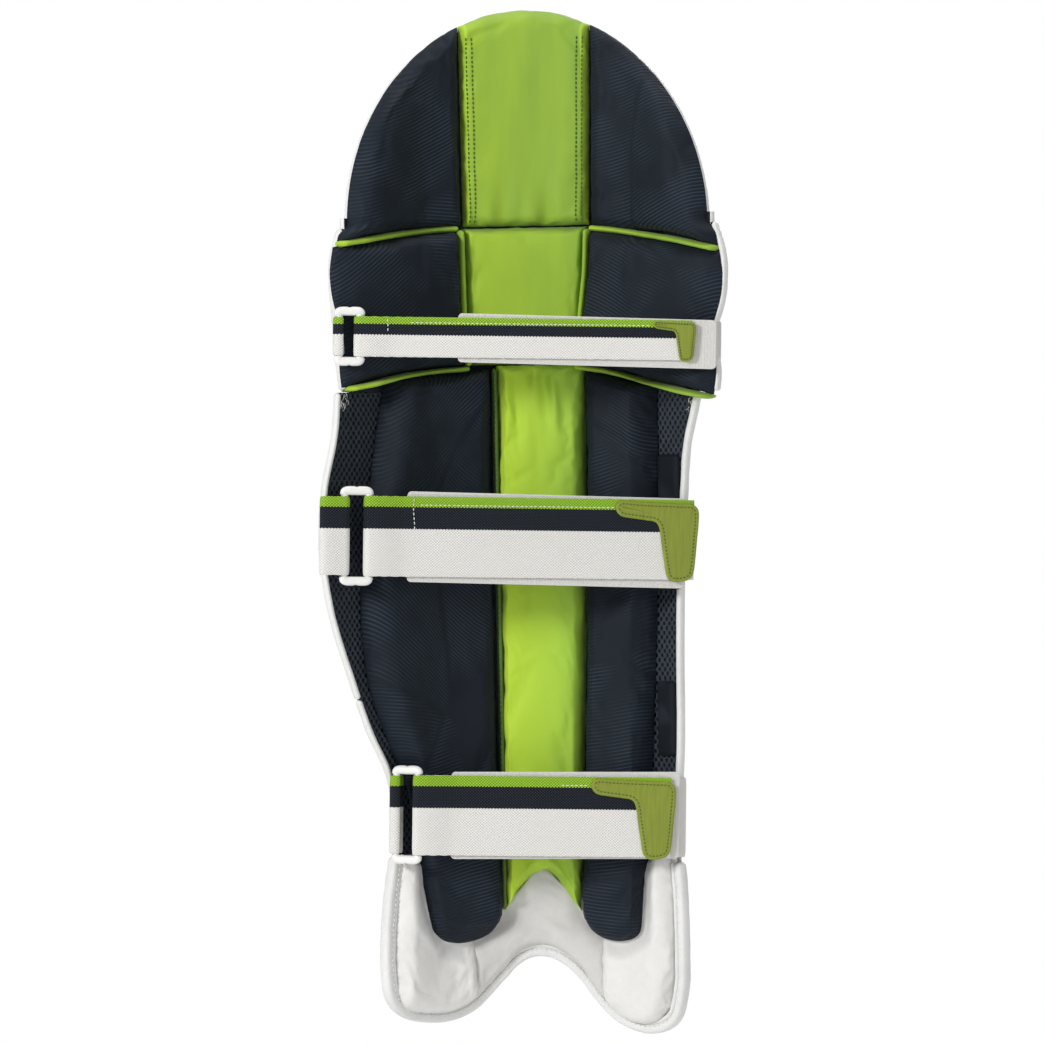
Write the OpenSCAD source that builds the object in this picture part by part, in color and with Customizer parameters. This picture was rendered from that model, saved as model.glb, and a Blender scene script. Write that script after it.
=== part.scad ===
// Cricket batting leg pad for a left leg, seen from the leg side at -Y.
// +Z runs up the leg and +Y is the way the batter faces.
// The origin is on the leg's axis, level with the pad's lowest edge.

/* [Overall] */
// Height from the lowest edge to the crown of the thigh flap
pad_h = 700; // [680:5:720]
// Width across the knee section
pad_w = 271; // [265:1:277]
// Distance from the leg's axis to the liner on the centre line
leg_gap = 56; // [54:1:58]

/* [Layers] */
// Thickness of the mesh liner
liner_t = 2.6; // [2:0.1:2.6]
// Thickness of the foam core
foam_t = 10; // [8:0.5:12]
// Thickness of the outer facing
face_t = 1.6; // [1.2:0.1:2]
// Height that the vertical rolls stand proud of the facing
roll_h = 15; // [12:0.5:16]
// Height that the knee rolls stand proud of the facing
knee_roll_h = 21; // [16:0.5:22]
// Width of the bound edge
binding_w = 4; // [3:0.5:5]

/* [Inner padding] */
// Thickness of the side bolsters along the shin
bolster_t = 21; // [16:0.5:21]
// Thickness of the centre bolster
centre_t = 17; // [12:0.5:18]
// Thickness of the knee cups at their crown
cup_t = 24; // [18:0.5:24]
// Thickness of the thigh pads
thigh_t = 15; // [10:0.5:16]
// Thickness of the instep cushions
instep_t = 13; // [9:0.5:14]

/* [Straps] */
// Thickness of the webbing
web_t = 1.6; // [1.2:0.1:1.6]
// Width of the knee strap
knee_strap_w = 27; // [24:0.5:28]
// Width of the calf and ankle straps
wide_strap_w = 54; // [50:0.5:54]
// Radius of the ring's side bars
bar_r = 2.3; // [2:0.1:2.3]
// Slope of the straps, down towards the inner side of the leg
strap_tilt = 1.8; // [0:0.1:2]

/* [Hidden] */
navy = "#252d3a";
lime = "#8fbf2a";
white = "#e9e8e3";
sx = pad_w / 271;
sz = pad_h / 700;
gap = 0.3;
deg = 180 / PI;

// ---- The plan curve: a shallow arc, a tighter arc and a straight wall on each side.
front_r = 180 * sx;
front_x = 55 * sx;
side_r = 75 * sx;
wall_a = 48;
front_a = asin(front_x / front_r);
side_c = [front_x - side_r * sin(front_a), -front_r * (1 - cos(front_a)) - side_r * cos(front_a)];
front_s = front_r * front_a / deg;
side_s = front_s + side_r * (wall_a - front_a) / deg;
side_e = side_c + side_r * [sin(wall_a), cos(wall_a)];

function turn_at(s) =
    s < front_s ? s / front_r * deg : s < side_s ? front_a + (s - front_s) / side_r * deg : wall_a;
function half_plan(s) =
    s < front_s ? [front_r * sin(turn_at(s)), -front_r * (1 - cos(turn_at(s)))]
    : s < side_s ? side_c + side_r * [sin(turn_at(s)), cos(turn_at(s))]
    : side_e + (s - side_s) * [cos(wall_a), -sin(wall_a)];

// A point at distance s along the liner from the centre line, and d towards the leg.
function plan(s, d) =
    let (m = abs(s), p = half_plan(m), a = turn_at(m))
    [sign(s) * (p.x - d * sin(a)), leg_gap + p.y - d * cos(a)];
// The distance along the liner at which it stands at x.
function s_at(x) =
    let (m = abs(x))
    sign(x) * (m < front_x ? front_r * asin(m / front_r) / deg
        : m < side_e.x ? front_s + side_r * (asin((m - side_c.x) / side_r) - front_a) / deg
        : side_s + (m - side_e.x) / cos(wall_a));

// ---- A smooth curve through a table of [position, value] pairs.
function cell(t, z, i = 0) = i >= len(t) - 2 || z < t[i + 1][0] ? i : cell(t, z, i + 1);
function slope(t, i) =
    let (a = max(i - 1, 0), b = min(i + 1, len(t) - 1))
    (t[b][1] - t[a][1]) / (t[b][0] - t[a][0]);
function curve(t, z) =
    let (i = cell(t, z), h = t[i + 1][0] - t[i][0], u = (z - t[i][0]) / h)
    (2 * u^3 - 3 * u^2 + 1) * t[i][1] + (u^3 - 2 * u^2 + u) * h * slope(t, i)
    + (3 * u^2 - 2 * u^3) * t[i + 1][1] + (u^3 - u^2) * h * slope(t, i + 1);
function mix(a, b, u) = a + (b - a) * u;
function ease(u) = let (c = min(1, max(0, u))) c * c * (3 - 2 * c);

// ---- Outlines as seen along Y: the liner's edge at height z, in the nominal size.
left_edge = [[95, -104], [120, -99.5], [145, -96], [180, -100.8], [210, -113], [245, -124],
    [290, -136.5], [335, -142], [375, -139.5], [410, -132.5], [445, -129.5]];
right_edge = [[95, 97.5], [120, 95.5], [150, 95], [200, 97.5], [262, 98.3], [320, 100],
    [370, 103], [400, 105.5], [425, 111], [445, 115]];
knee_edge = [[436, 126], [455, 128.2], [495, 131.2], [522, 132.3], [536, 130.2], [556, 124]];
flap_z = 549;
flap_half = 122.5;
flap_rise = 151;
crease_z = 551;
knee_z = [440, 549.7];
shin_z = [125, 439.7];
hinge_x = 119;
wing_z = [232, 439.4];

function flap_edge(z) = flap_half * sqrt(max(0, 1 - ((z - flap_z) / flap_rise)^2));
// The instep's lower edge: two lobes with an arch between them.
instep_low = [[-106, 44], [-102, 26], [-92, 15], [-76, 10.5], [-60, 11.5], [-44, 19], [-27, 36],
    [-13, 49.5], [0, 53.4], [12, 50], [26, 38.5], [38, 22], [52, 8], [70, 0.4], [84, 2.5],
    [93, 12], [97, 34]];
instep_left = [[0, -106], [60, -105.5], [90, -103.5], [126, -98.5]];
instep_right = [[0, 97], [60, 98], [95, 97.5], [126, 95.5]];

// ---- A closed slab from a grid: at(u, v) gives [s, z], and near and far give d on each side.
function grid(n) = [for (i = [0:n]) 0.5 - 0.5 * cos(180 * i / n)];
function place(q, d) = let (p = plan(s_at_nominal(q[0]), d)) [p.x, p.y, q[1] * sz];
function s_at_nominal(s) = s * sx;

module slab(at, near, far, cols = 12, rows = 12, even = false) {
    us = even ? [for (i = [0:cols]) i / cols] : grid(cols);
    vs = even ? [for (i = [0:rows]) i / rows] : grid(rows);
    w = cols + 1;
    n = w * (rows + 1);
    points = concat(
        [for (v = vs) for (u = us) place(at(u, v), near(u, v))],
        [for (v = vs) for (u = us) place(at(u, v), far(u, v))]);
    near_faces = [for (j = [0:rows - 1]) for (i = [0:cols - 1]) let (a = j * w + i)
        each [[a, a + 1, a + w + 1], [a, a + w + 1, a + w]]];
    far_faces = [for (f = near_faces) [f[2] + n, f[1] + n, f[0] + n]];
    rim = concat(
        [for (i = [0:cols]) i],
        [for (j = [1:rows]) j * w + cols],
        [for (i = [1:cols]) rows * w + cols - i],
        [for (j = [1:rows - 1]) (rows - j) * w]);
    m = len(rim);
    walls = [for (k = [0:m - 1]) let (a = rim[k], b = rim[(k + 1) % m])
        each [[b, a, a + n], [b, a + n, b + n]]];
    polyhedron(points, concat(near_faces, far_faces, walls), convexity = 6);
}

// The share of full thickness at a distance e from the edge, where the padding is sewn thin.
function taper(e) = mix(0.3, 1, ease(e / 24));
// How far (s, z) is from the sides of a section, for its taper.
function shin_side(s, z) = min(s - s_at(curve(left_edge, z)), s_at(curve(right_edge, z)) - s);
function knee_side(s, z) = s_at(curve(knee_edge, z)) - abs(s);
function flap_side(s, z) = 0.8 * min(s_at(flap_edge(z)) - abs(s), flap_rise + flap_z - z);
function instep_side(s, z) =
    min(s - s_at(curve(instep_left, z)), s_at(curve(instep_right, z)) - s, z - instep_floor(s));
function instep_floor(s) = curve(instep_low, plan(s, 0).x / sx);

// The layers: liner, foam and facing, as [near, far] distances for full thickness.
function liner_d() = [0, -liner_t];
function foam_d() = [-liner_t - gap, -liner_t - gap - foam_t];
function lined_foam_d() = [-0.8, -liner_t - gap - foam_t];
function face_d() = [-liner_t - foam_t - 2 * gap, -liner_t - foam_t - 2 * gap - face_t];
skin_d = -liner_t - foam_t - 3 * gap - face_t;
edge_in = binding_w + 0.9;

// ---- Shin section
function shin_at(z0, z1, in_l = edge_in, hinge = false) = function(u, v)
    let (z = mix(z0, z1, v),
        l = hinge ? s_at(-hinge_x) + gap : s_at(curve(left_edge, z)) + in_l,
        r = s_at(curve(right_edge, z)) - edge_in)
    [mix(l, r, u), z];

// One layer of the shin. The part above wing_z stops at the wing's hinge line.
module shin_layer(d) {
    at = function(u, v)
        let (z = mix(shin_z[0] + gap, shin_z[1], v),
            free = s_at(curve(left_edge, z)) + edge_in,
            l = max(free, s_at(-hinge_x) + 2 * gap),
            r = s_at(curve(right_edge, z)) - edge_in)
        [mix(l, r, u), z];
    share = function(q) taper(shin_side(q[0], q[1]));
    near = function(u, v) d[0] * (d[0] < -5 ? share(at(u, v)) : 1);
    far = function(u, v) min(d[1] * share(at(u, v)), d[0] * (d[0] < -5 ? share(at(u, v)) : 1) - 0.4);
    slab(at, near, far, 20, 15, true);
}
module shin_liner() color("#1f2631") shin_layer(liner_d_thin());
module shin_foam() color("#d8d4c4") shin_layer(foam_d());
module shin_face() color(white) shin_layer(face_d());
function liner_d_thin() = [0, -liner_t];

// A strip of binding along an edge given by line(z), on the inner side of it.
module edge_strip(line, side, z0, z1, rows = 14) {
    at = function(u, v)
        let (z = mix(z0, z1, v), e = line(z))
        [side < 0 ? e + u * binding_w : e - (1 - u) * binding_w, z];
    slab(at, function(u, v) 1.5, function(u, v) -5, 1, rows, true);
}
module shin_binding() color(white) {
    edge_strip(function(z) s_at(curve(left_edge, z)), -1, shin_z[0] + gap, wing_z[0] - gap, 6);
    edge_strip(function(z) s_at(curve(right_edge, z)), 1, shin_z[0] + gap, 432.4);
}

// Vertical rolls with a cane in each, on the outer side of a section.
roll_count = 7;
roll_pitch = 24.5;
cane_r = 4.5;
cane_d = skin_d - 6.8;
roll_arc = [for (i = [0:12]) 15 * i];
function roll_s(i) = (i - (roll_count - 1) / 2) * roll_pitch * sx;

module roll(i, z0, z1) {
    half = roll_pitch * sx / 2 - 0.5;
    c = roll_s(i);
    crown = concat([for (t = roll_arc) plan(c + half * cos(t), skin_d - roll_h * pow(sin(t), 0.8))],
        [for (j = [1:5]) plan(c + half * (j / 3 - 1), skin_d)]);
    hole = plan(c, cane_d);
    difference() {
        translate([0, 0, z0 * sz]) linear_extrude((z1 - z0) * sz) polygon(crown);
        translate([hole.x, hole.y, z0 * sz - 1]) cylinder(r = cane_r + 0.15, h = (z1 - z0) * sz + 2, $fn = 32);
    }
}
module cane(i, z0, z1) {
    p = plan(roll_s(i), cane_d);
    translate([p.x, p.y, z0 * sz]) cylinder(r = cane_r, h = (z1 - z0) * sz, $fn = 32);
}
shin_roll_z = [128, 437];
module shin_rolls() color(white) for (i = [0:roll_count - 1]) roll(i, shin_roll_z[0], shin_roll_z[1]);
module shin_canes() color("#d9b77a")
    for (i = [0:roll_count - 1]) cane(i, shin_roll_z[0] + 6, shin_roll_z[1] - 6);

// ---- Inner padding. A cushion is crowned across u and v, and rim is its share of thickness at the edge.
function crown(u, v, rim, p = 6) =
    rim + (1 - rim) * pow(max(0, 1 - pow(abs(2 * u - 1), p)), 0.5) * pow(max(0, 1 - pow(abs(2 * v - 1), 4 * p)), 0.5);
module cushion(left, right, low, high, t, cols = 10, rows = 16, rim = 0.4, wall = 0) {
    at = function(u, v)
        let (z = mix(low, high, v))
        [mix(s_at(curve(left, z)), s_at(curve(right, z)), u), z];
    slab(at, function(u, v) t * crown(u, v, rim), function(u, v) gap + wall, cols, rows);
}

left_bolster_l = [[64, -66], [68, -75], [80, -80], [94, -82], [125, -83.5], [155, -85.5], [182, -90],
    [200, -101.5], [245, -114], [300, -117.5], [382, -109.5], [440, -100], [456, -99]];
left_bolster_r = [[64, -44], [68, -37], [78, -27.5], [110, -26.2], [200, -27], [456, -27.5]];
right_bolster_l = [[63.5, 48], [68, 39.5], [78, 31.5], [90, 29.8], [125, 30.2], [195, 33.4],
    [300, 36.8], [456, 39]];
right_bolster_r = [[63.5, 66], [68, 71.5], [78, 73.6], [125, 76], [200, 80], [290, 83.5],
    [365, 86.3], [456, 86.3]];
centre_l = [[80, -25.6], [110, -25.4], [200, -26.2], [456, -26.7]];
centre_r = [[80, 29], [125, 29.4], [195, 32.6], [300, 36], [456, 38.2]];
arch_low = [[-26, 84], [-19, 92], [-10, 105], [-2, 110.5], [4, 111.3], [12, 108], [20, 97.5], [30, 83]];
cup_low = [[-130, 442.5], [-92, 452], [-44, 456.5], [0, 457.5], [32, 456.5], [82, 446.5], [126, 433.5]];
under_cup = 1.2;

// A cushion whose top follows the knee cups' lower edge.
module shin_cushion(left, right, low, t, floor_at, rows = 18) {
    at = function(u, v)
        let (z = mix(low, 452, v),
            x = mix(curve(left, z), curve(right, z), u),
            zl = floor_at(x),
            zt = curve(cup_low, x) - under_cup)
        [s_at(x), mix(zl, zt, (z - low) / (452 - low))];
    slab(at, function(u, v) t * crown(u, v, 0.4), function(u, v) 0.7, 10, rows);
}
module left_bolster() color(navy) shin_cushion(left_bolster_l, left_bolster_r, 64, bolster_t, function(x) 64);
module right_bolster() color(navy)
    shin_cushion(right_bolster_l, right_bolster_r, 63.5, bolster_t, function(x) 63.5);
module centre_bolster() color(lime)
    shin_cushion(centre_l, centre_r, 84, centre_t, function(x) curve(arch_low, x), 14);
// A flat padded panel between the right bolster and the right edge.
module side_panel() color(navy)
    cushion([[186, 84], [196, 82.5], [232, 85], [242, 87]], [[186, 88], [196, 93.5], [232, 93.8], [242, 92]],
        188, 241, 4, 4, 8, 0.5);

// ---- Knee section
module knee_layer(d) {
    at = function(u, v)
        let (z = mix(knee_z[0], knee_z[1], v), h = s_at(curve(knee_edge, z)) - edge_in)
        [mix(-h, h, u), z];
    share = function(q) taper(knee_side(q[0], q[1]));
    near = function(u, v) d[0] * share(at(u, v));
    far = function(u, v) min(d[1] * share(at(u, v)), d[0] * share(at(u, v)) - 0.4);
    slab(at, near, far, 22, 5, true);
}
module knee_foam() color("#d8d4c4") knee_layer(lined_foam_d());
module knee_face() color(white) knee_layer(face_d());
module knee_binding() color(white) {
    edge_strip(function(z) -s_at(curve(knee_edge, z)), -1, knee_z[0], knee_z[1], 6);
    edge_strip(function(z) s_at(curve(knee_edge, z)), 1, knee_z[0], knee_z[1], 6);
}
// Three rolls round the knee, each one a half round carried along the plan curve.
knee_roll_n = 3;
knee_roll_s = 98;
module knee_roll(k) {
    pitch = (knee_z[1] - knee_z[0] - 3) / knee_roll_n;
    zc = knee_z[0] + 1.5 + pitch * (k + 0.5);
    half = pitch / 2 - 0.4;
    at = function(u, v) [mix(-knee_roll_s, knee_roll_s, u), zc + half * (2 * v - 1)];
    rise = function(u, v) knee_roll_h * pow(max(0, 1 - pow(2 * v - 1, 2)), 0.5)
        * (0.35 + 0.65 * ease(min(u, 1 - u) / 0.12));
    slab(at, function(u, v) skin_d, function(u, v) skin_d - 1 - rise(u, v), 22, 8);
}
module knee_rolls() color(white) for (k = [0:knee_roll_n - 1]) knee_roll(k);

cup_top_l = [[-130, 536.5], [-92, 545], [-48, 549.8]];
cup_top_r = [[44, 548.8], [90, 541.5], [128, 531]];
piping_w = 3.5;
cup_inner_l = -49.3;
cup_inner_r = 44.3;
function cup_depth(s) = mix(cup_t, 4, min(1, max(0, (abs(s) - 95) / 62)));

module knee_cup(x0, x1, top, side) {
    at = function(u, v)
        let (z = mix(448, 534, v),
            e = curve(knee_edge, z) - binding_w - 0.6,
            x = side < 0 ? mix(-e, x1, u) : mix(x0, e, u))
        [s_at(x), mix(curve(cup_low, x), curve(top, x) - piping_w - gap, v)];
    slab(at, function(u, v) max(2.5, cup_depth(at(u, v)[0]) * crown(u, v, 0.5)),
        function(u, v) gap, 12, 8);
}
module left_knee_cup() color(navy) knee_cup(0, cup_inner_l, cup_top_l, -1);
module right_knee_cup() color(navy) knee_cup(cup_inner_r, 0, cup_top_r, 1);
module centre_knee_cushion() color(lime)
    cushion([[455, -44], [551, -43]], [[455, 39.8], [551, 39.8]], 458.5, 549.5, 16, 10, 8, 0.5);
// Piping along each cup's top edge and down its inner edge.
module piping_top(x0, x1, top) {
    at = function(u, v)
        let (x = mix(x0, x1, u), z = curve(top, x))
        [s_at(x), mix(z - piping_w, z - gap, v)];
    slab(at, function(u, v) 0.6 * cup_depth(at(u, v)[0]), function(u, v) gap, 9, 1, true);
}
module piping_side(x0, low, high) {
    at = function(u, v) [s_at(x0 + u * piping_w), mix(low, high, v)];
    slab(at, function(u, v) 0.75 * cup_t, function(u, v) gap, 1, 6, true);
}
module knee_cup_piping() color(lime) {
    piping_top(-124, cup_inner_l, cup_top_l);
    piping_top(cup_inner_r, 122, cup_top_r);
    piping_side(cup_inner_l + gap, 457.5, 549);
    piping_side(cup_inner_r - piping_w - gap, 457.5, 548);
}

// ---- Instep
module instep_layer(d, low_in = edge_in) {
    at = function(u, v)
        let (zn = mix(40, 124.7, v),
            l = s_at(curve(instep_left, zn)) + edge_in,
            r = s_at(curve(instep_right, zn)) - edge_in,
            s = mix(l, r, u))
        [s, mix(instep_floor(s) + low_in, 124.7, v)];
    share = function(q) taper(instep_side(q[0], q[1]));
    near = function(u, v) d[0] * share(at(u, v));
    far = function(u, v) min(d[1] * share(at(u, v)), d[0] * share(at(u, v)) - 0.4);
    slab(at, near, far, 26, 7, true);
}
module instep_foam() color("#d8d4c4") instep_layer(lined_foam_d());
module instep_face() color(white) instep_layer(face_d());
module instep_binding() color(white) {
    edge_strip(function(z) s_at(curve(instep_left, z)), -1, 46, 124.7, 5);
    edge_strip(function(z) s_at(curve(instep_right, z)), 1, 36, 124.7, 5);
    at = function(u, v)
        let (s = mix(s_at(-105.8), s_at(96.8), u), z = instep_floor(s))
        [s, mix(z, z + binding_w * (1 - 0.8 * pow(abs(2 * u - 1), 30)), v)];
    slab(at, function(u, v) 1.5, function(u, v) -5, 40, 1);
}
module instep_cushion(x0, x1, low, high) {
    at = function(u, v)
        let (x = mix(x0, x1, u), zl = curve(low, x), zh = curve(high, x))
        [s_at(x), mix(zl, zh, v)];
    slab(at, function(u, v) instep_t * crown(u, v, 0.45, 4), function(u, v) gap, 10, 7);
}
// The side cushions end just below the bolsters' rounded ends.
module instep_left_cushion() color(white)
    instep_cushion(-95, -35, [[-95, 34], [-84, 20], [-70, 17], [-54, 20], [-35, 33]],
        [[-95, 118], [-88, 100], [-82, 62], [-55, 58], [-35, 62]]);
module instep_right_cushion() color(white)
    instep_cushion(36, 89, [[36, 31], [48, 18], [62, 9], [74, 8], [84, 12], [89, 22]],
        [[36, 60], [50, 57], [74, 60], [80, 100], [89, 116]]);
module instep_tongue() color(white) {
    at = function(u, v)
        let (x = mix(-24, 27, u), zl = instep_floor(s_at(x)) + 8, zh = curve(arch_low, x) - 2)
        [s_at(x), mix(zl, zh, v)];
    slab(at, function(u, v) 9 * crown(u, v, 0.45, 4), function(u, v) gap, 10, 6);
}

// ---- Thigh flap. It folds forward about the crease at the facing's outer surface.
flap_low = crease_z + 0.4;
module flap_layer(d) {
    reach = flap_rise - edge_in;
    at = function(u, v)
        let (z = mix(flap_low, flap_z + reach - 0.6, v))
        [mix(-1, 1, u) * s_at((flap_half - edge_in) * sqrt(1 - pow((z - flap_z) / reach, 2))), z];
    share = function(q) taper(flap_side(q[0], q[1]));
    near = function(u, v) let (q = at(u, v)) d[0] * share(q);
    far = function(u, v) let (q = at(u, v)) min(d[1] * share(q), d[0] * share(q) - 0.4);
    slab(at, near, far, 20, 12);
}
module top_foam() color("#d8d4c4") flap_layer(lined_foam_d());
module top_face() color(white) flap_layer(face_d());
module top_binding() color(white) {
    at = function(u, v)
        let (a = mix(179, 1, u),
            e = [flap_half * cos(a), flap_z + flap_rise * sin(a)],
            n = [cos(a), sin(a)],
            q = e - (1 - v) * binding_w * n)
        [s_at(q.x), q.y];
    slab(at, function(u, v) 1.5, function(u, v) -5, 30, 1, true);
}
module top_rolls() color(white) for (i = [0:roll_count - 1]) roll(i, flap_roll_z(), flap_roll_top(i));
module top_canes() color("#d9b77a")
    for (i = [0:roll_count - 1]) cane(i, flap_roll_z() + 5, flap_roll_top(i) - 5);
function flap_roll_z() = 562;
function flap_roll_top(i) =
    let (x = (abs(i - (roll_count - 1) / 2) + 0.5) * roll_pitch * 0.94)
    flap_z + flap_rise * sqrt(1 - (x / flap_half)^2) - 13;

module thigh_pad(x0, x1, side) {
    inner = max(abs(x0), abs(x1));
    half = flap_half - 8;
    high = sqrt(1 - pow((inner + 4) / half, 2));
    at = function(u, v)
        let (w = mix(0, high, v), s_out = s_at(half * sqrt(1 - w * w)), s_in = s_at(inner))
        [side < 0 ? mix(-s_out, -s_in, u) : mix(s_in, s_out, u),
            mix(flap_low + 1, flap_z + (flap_rise - 4) * high, v)];
    slab(at, function(u, v) thigh_t * crown(u, v, 0.4), function(u, v) 0.5, 10, 10);
}
module top_left_pad() color(navy) thigh_pad(0, -45.8, -1);
module top_right_pad() color(navy) thigh_pad(45, 0, 1);
module top_centre_strip() color(lime) {
    at = function(u, v)
        let (x = mix(-45, 44.2, u),
            hi = flap_z + (flap_rise - 5) * sqrt(1 - (x / (flap_half - 4))^2))
        [s_at(x), mix(flap_low + 1, hi, v)];
    slab(at, function(u, v) 12 * crown(u, v, 0.45), function(u, v) gap, 10, 10);
}

// ---- Side wing, left of its hinge line
module wing_layer(d) {
    at = function(u, v)
        let (z = mix(wing_z[0], wing_z[1], v),
            l = s_at(curve(left_edge, z)) + edge_in,
            r = s_at(-hinge_x) - gap)
        [mix(min(l, r - 1), r, u), z];
    share = function(q) taper(shin_side(q[0], q[1]));
    near = function(u, v) d[0] * (d[0] < -5 ? share(at(u, v)) : 1);
    far = function(u, v) min(d[1] * share(at(u, v)), near(u, v) - 0.4);
    slab(at, near, far, 5, 12, true);
}
module wing_liner() color("#1f2631") wing_layer(liner_d());
module wing_foam() color("#d8d4c4") wing_layer(foam_d());
module wing_face() color(white) wing_layer(face_d());
module wing_binding() color(white)
    edge_strip(function(z) min(s_at(curve(left_edge, z)), s_at(-hinge_x) - 2 * binding_w), -1,
        wing_z[0], wing_z[1], 12);

// ---- Straps. Each frame has its origin on the ring's bar nearer the pad's centre,
// u along the strap, v towards the pad and w up.
bar_gap = bar_r + gap;
web_v = bar_gap + web_t / 2;
panel_t = 1.1;
hook_t = 0.9;
tab_t = 1.7;

// [origin x, y, z, corner x, y, width, bar spacing, ring turn, panel start, panel width, strap length]
function knee_data() = [-114, -84, 476.8, 130.5, -80.6, knee_strap_w, 14, 0, 70, 34, 226];
function calf_data() = [-110, -91, 342.4, 104, -50, wide_strap_w, 17.6, 0, 28, 63, 225];
function ankle_data() = [-81, -57.5, 153, 96.5, -44.2, wide_strap_w, 17.6, 30, 14, 62, 174];
function origin_of(k) = [k[0] * sx, k[1] * sx + leg_gap, k[2] * sz];
function corner_of(k) = [k[3] * sx, k[4] * sx + leg_gap];
function slant_of(k) =
    let (o = origin_of(k), q = corner_of(k) - [o.x, o.y])
    atan2(q.y, q.x) - asin(web_v / norm(q));
function local(k, p) =
    let (o = origin_of(k), q = p - [o.x, o.y], a = slant_of(k))
    [q.x * cos(a) + q.y * sin(a), -q.x * sin(a) + q.y * cos(a)];
// Points given as [in from the pad's edge at x, towards the leg from the liner].
function by_edge(k, x, points) =
    [for (q = points) local(k, plan(s_at(x) - sign(x) * q[0], q[1]))];
function left_bar(k) = k[6] * [-cos(k[7]), sin(k[7])];
module strap_frame(k) translate(origin_of(k)) rotate([0, strap_tilt, slant_of(k)]) children();
module tall(w) linear_extrude(w, center = true) children();

// A ribbon of thickness t along a path of points.
function ribbon_side(p, t) = [for (i = [0:len(p) - 1])
    let (a = p[max(i - 1, 0)], b = p[min(i + 1, len(p) - 1)], q = (b - a) / norm(b - a))
    p[i] + t * [-q.y, q.x]];
function reversed(p) = [for (i = [len(p) - 1:-1:0]) p[i]];
module ribbon(p, t) polygon(concat(ribbon_side(p, t / 2), reversed(ribbon_side(p, -t / 2))));
module web_ring() difference() {
    circle(r = bar_gap + web_t, $fn = 32);
    circle(r = bar_gap, $fn = 32);
}

// The ring: two round bars joined by flat end plates with rounded corners.
module ring(k) color(white) strap_frame(k) rotate(-k[7]) {
    low = k[5] / 2 + 0.5;
    high = low + 5.6;
    out = 4;
    plate = [[-k[6] - out, low + 1.5], [-k[6] - out + 1, low], [out - 1, low], [out, low + 1.5],
        [out - 0.8, high - 2.2], [out - 3, high - 0.6], [out - 6, high], [-k[6] - out + 6, high],
        [-k[6] - out + 3, high - 0.6], [-k[6] - out + 0.8, high - 2.2]];
    for (x = [0, -k[6]]) translate([x, 0, 0])
        cylinder(r = bar_r, h = 2 * low + 2, center = true, $fn = 32);
    for (side = [0, 180]) rotate([side, 0, 0]) translate([0, 2.5, 0])
        rotate([90, 0, 0]) linear_extrude(5) polygon(plate);
}
// The webbing's turn round the ring's inner bar.
module strap_turn(k) color(white) strap_frame(k) tall(k[5]) intersection() {
    web_ring();
    translate([-10, -10]) square([10, 20]);
}
// The short webbing that holds the ring: round its outer bar, and sewn to the bound edge.
module anchor(k, path) color(white) strap_frame(k) tall(k[5]) {
    translate(left_bar(k)) web_ring();
    ribbon(path, web_t);
}
function bar_in(k, x) =
    let (p = plan(s_at(x), 0), o = origin_of(k), a = slant_of(k), b = left_bar(k),
        q = [o.x, o.y] + [b.x * cos(a) - b.y * sin(a), b.x * sin(a) + b.y * cos(a)] - p)
    [q.x * cos(wall_a) + q.y * sin(wall_a), q.x * sin(wall_a) - q.y * cos(wall_a)];
module short_anchor(k, x)
    let (b = bar_in(k, x), n = b[1] - web_v)
    anchor(k, by_edge(k, x, [[b[0], n], [b[0] + 3, n], [0.5, min(n, 3.4)], [3.9, min(n, 3.4)]]));
knee_left = -129.8 * sx;
calf_left = -142 * sx;
ankle_left = -97 * sx;
module knee_anchor() short_anchor(knee_data(), knee_left);
module ankle_anchor() short_anchor(ankle_data(), ankle_left);
module calf_anchor() anchor(calf_data(), concat([left_bar(calf_data()) + [0, -web_v]],
    by_edge(calf_data(), calf_left, [[-5.5, 9], [-7, 6.2], [-5, 3.6], [-1, 3], [4.6, 3]])));

// The base strap: from the ring across the back, round the pad's inner edge, where it is sewn.
module strap_base(k, x) color(white) strap_frame(k) tall(k[5])
    ribbon(concat([[0.5, web_v], [30, web_v], local(k, corner_of(k))],
        by_edge(k, x, [[-4.4, -3], [-2.6, -6.8], [0, -8], [6, -9.8], [14, -13.6]])), web_t);
module knee_strap_base() strap_base(knee_data(), 129.8 * sx);
module calf_strap_base() strap_base(calf_data(), 101 * sx);
module ankle_strap_base() strap_base(ankle_data(), 95.2 * sx);

// The wide loop-pile panel that lies on the base strap.
panel_v = web_v - web_t / 2 - 0.1;
module loop_panel(k, length) color("#dcdad2") strap_frame(k)
    translate([k[8], panel_v - panel_t, -k[9] / 2]) cube([length - k[8], panel_t, k[9]]);
module knee_loop_panel() loop_panel(knee_data(), 243);
module calf_loop_panel() loop_panel(calf_data(), 216);
module ankle_loop_panel() loop_panel(ankle_data(), 177);

// The free end: striped webbing, hook tape on its inner side and a leather pull tab.
hook_v = panel_v - panel_t - gap;
free_v = hook_v - hook_t - 0.1 - web_t / 2;
module free_strap(k) color(white) strap_frame(k) tall(k[5])
    ribbon([[0.3, -web_v], [5, -web_v], [24, free_v], [k[10] - 3, free_v]], web_t);
module hook_patch(k) color("#c9c7bf") strap_frame(k)
    translate([max(30, k[8] + 6), hook_v - hook_t, -k[5] / 2 + 2])
        cube([k[10] - 8 - max(30, k[8] + 6), hook_t, k[5] - 4]);
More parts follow.
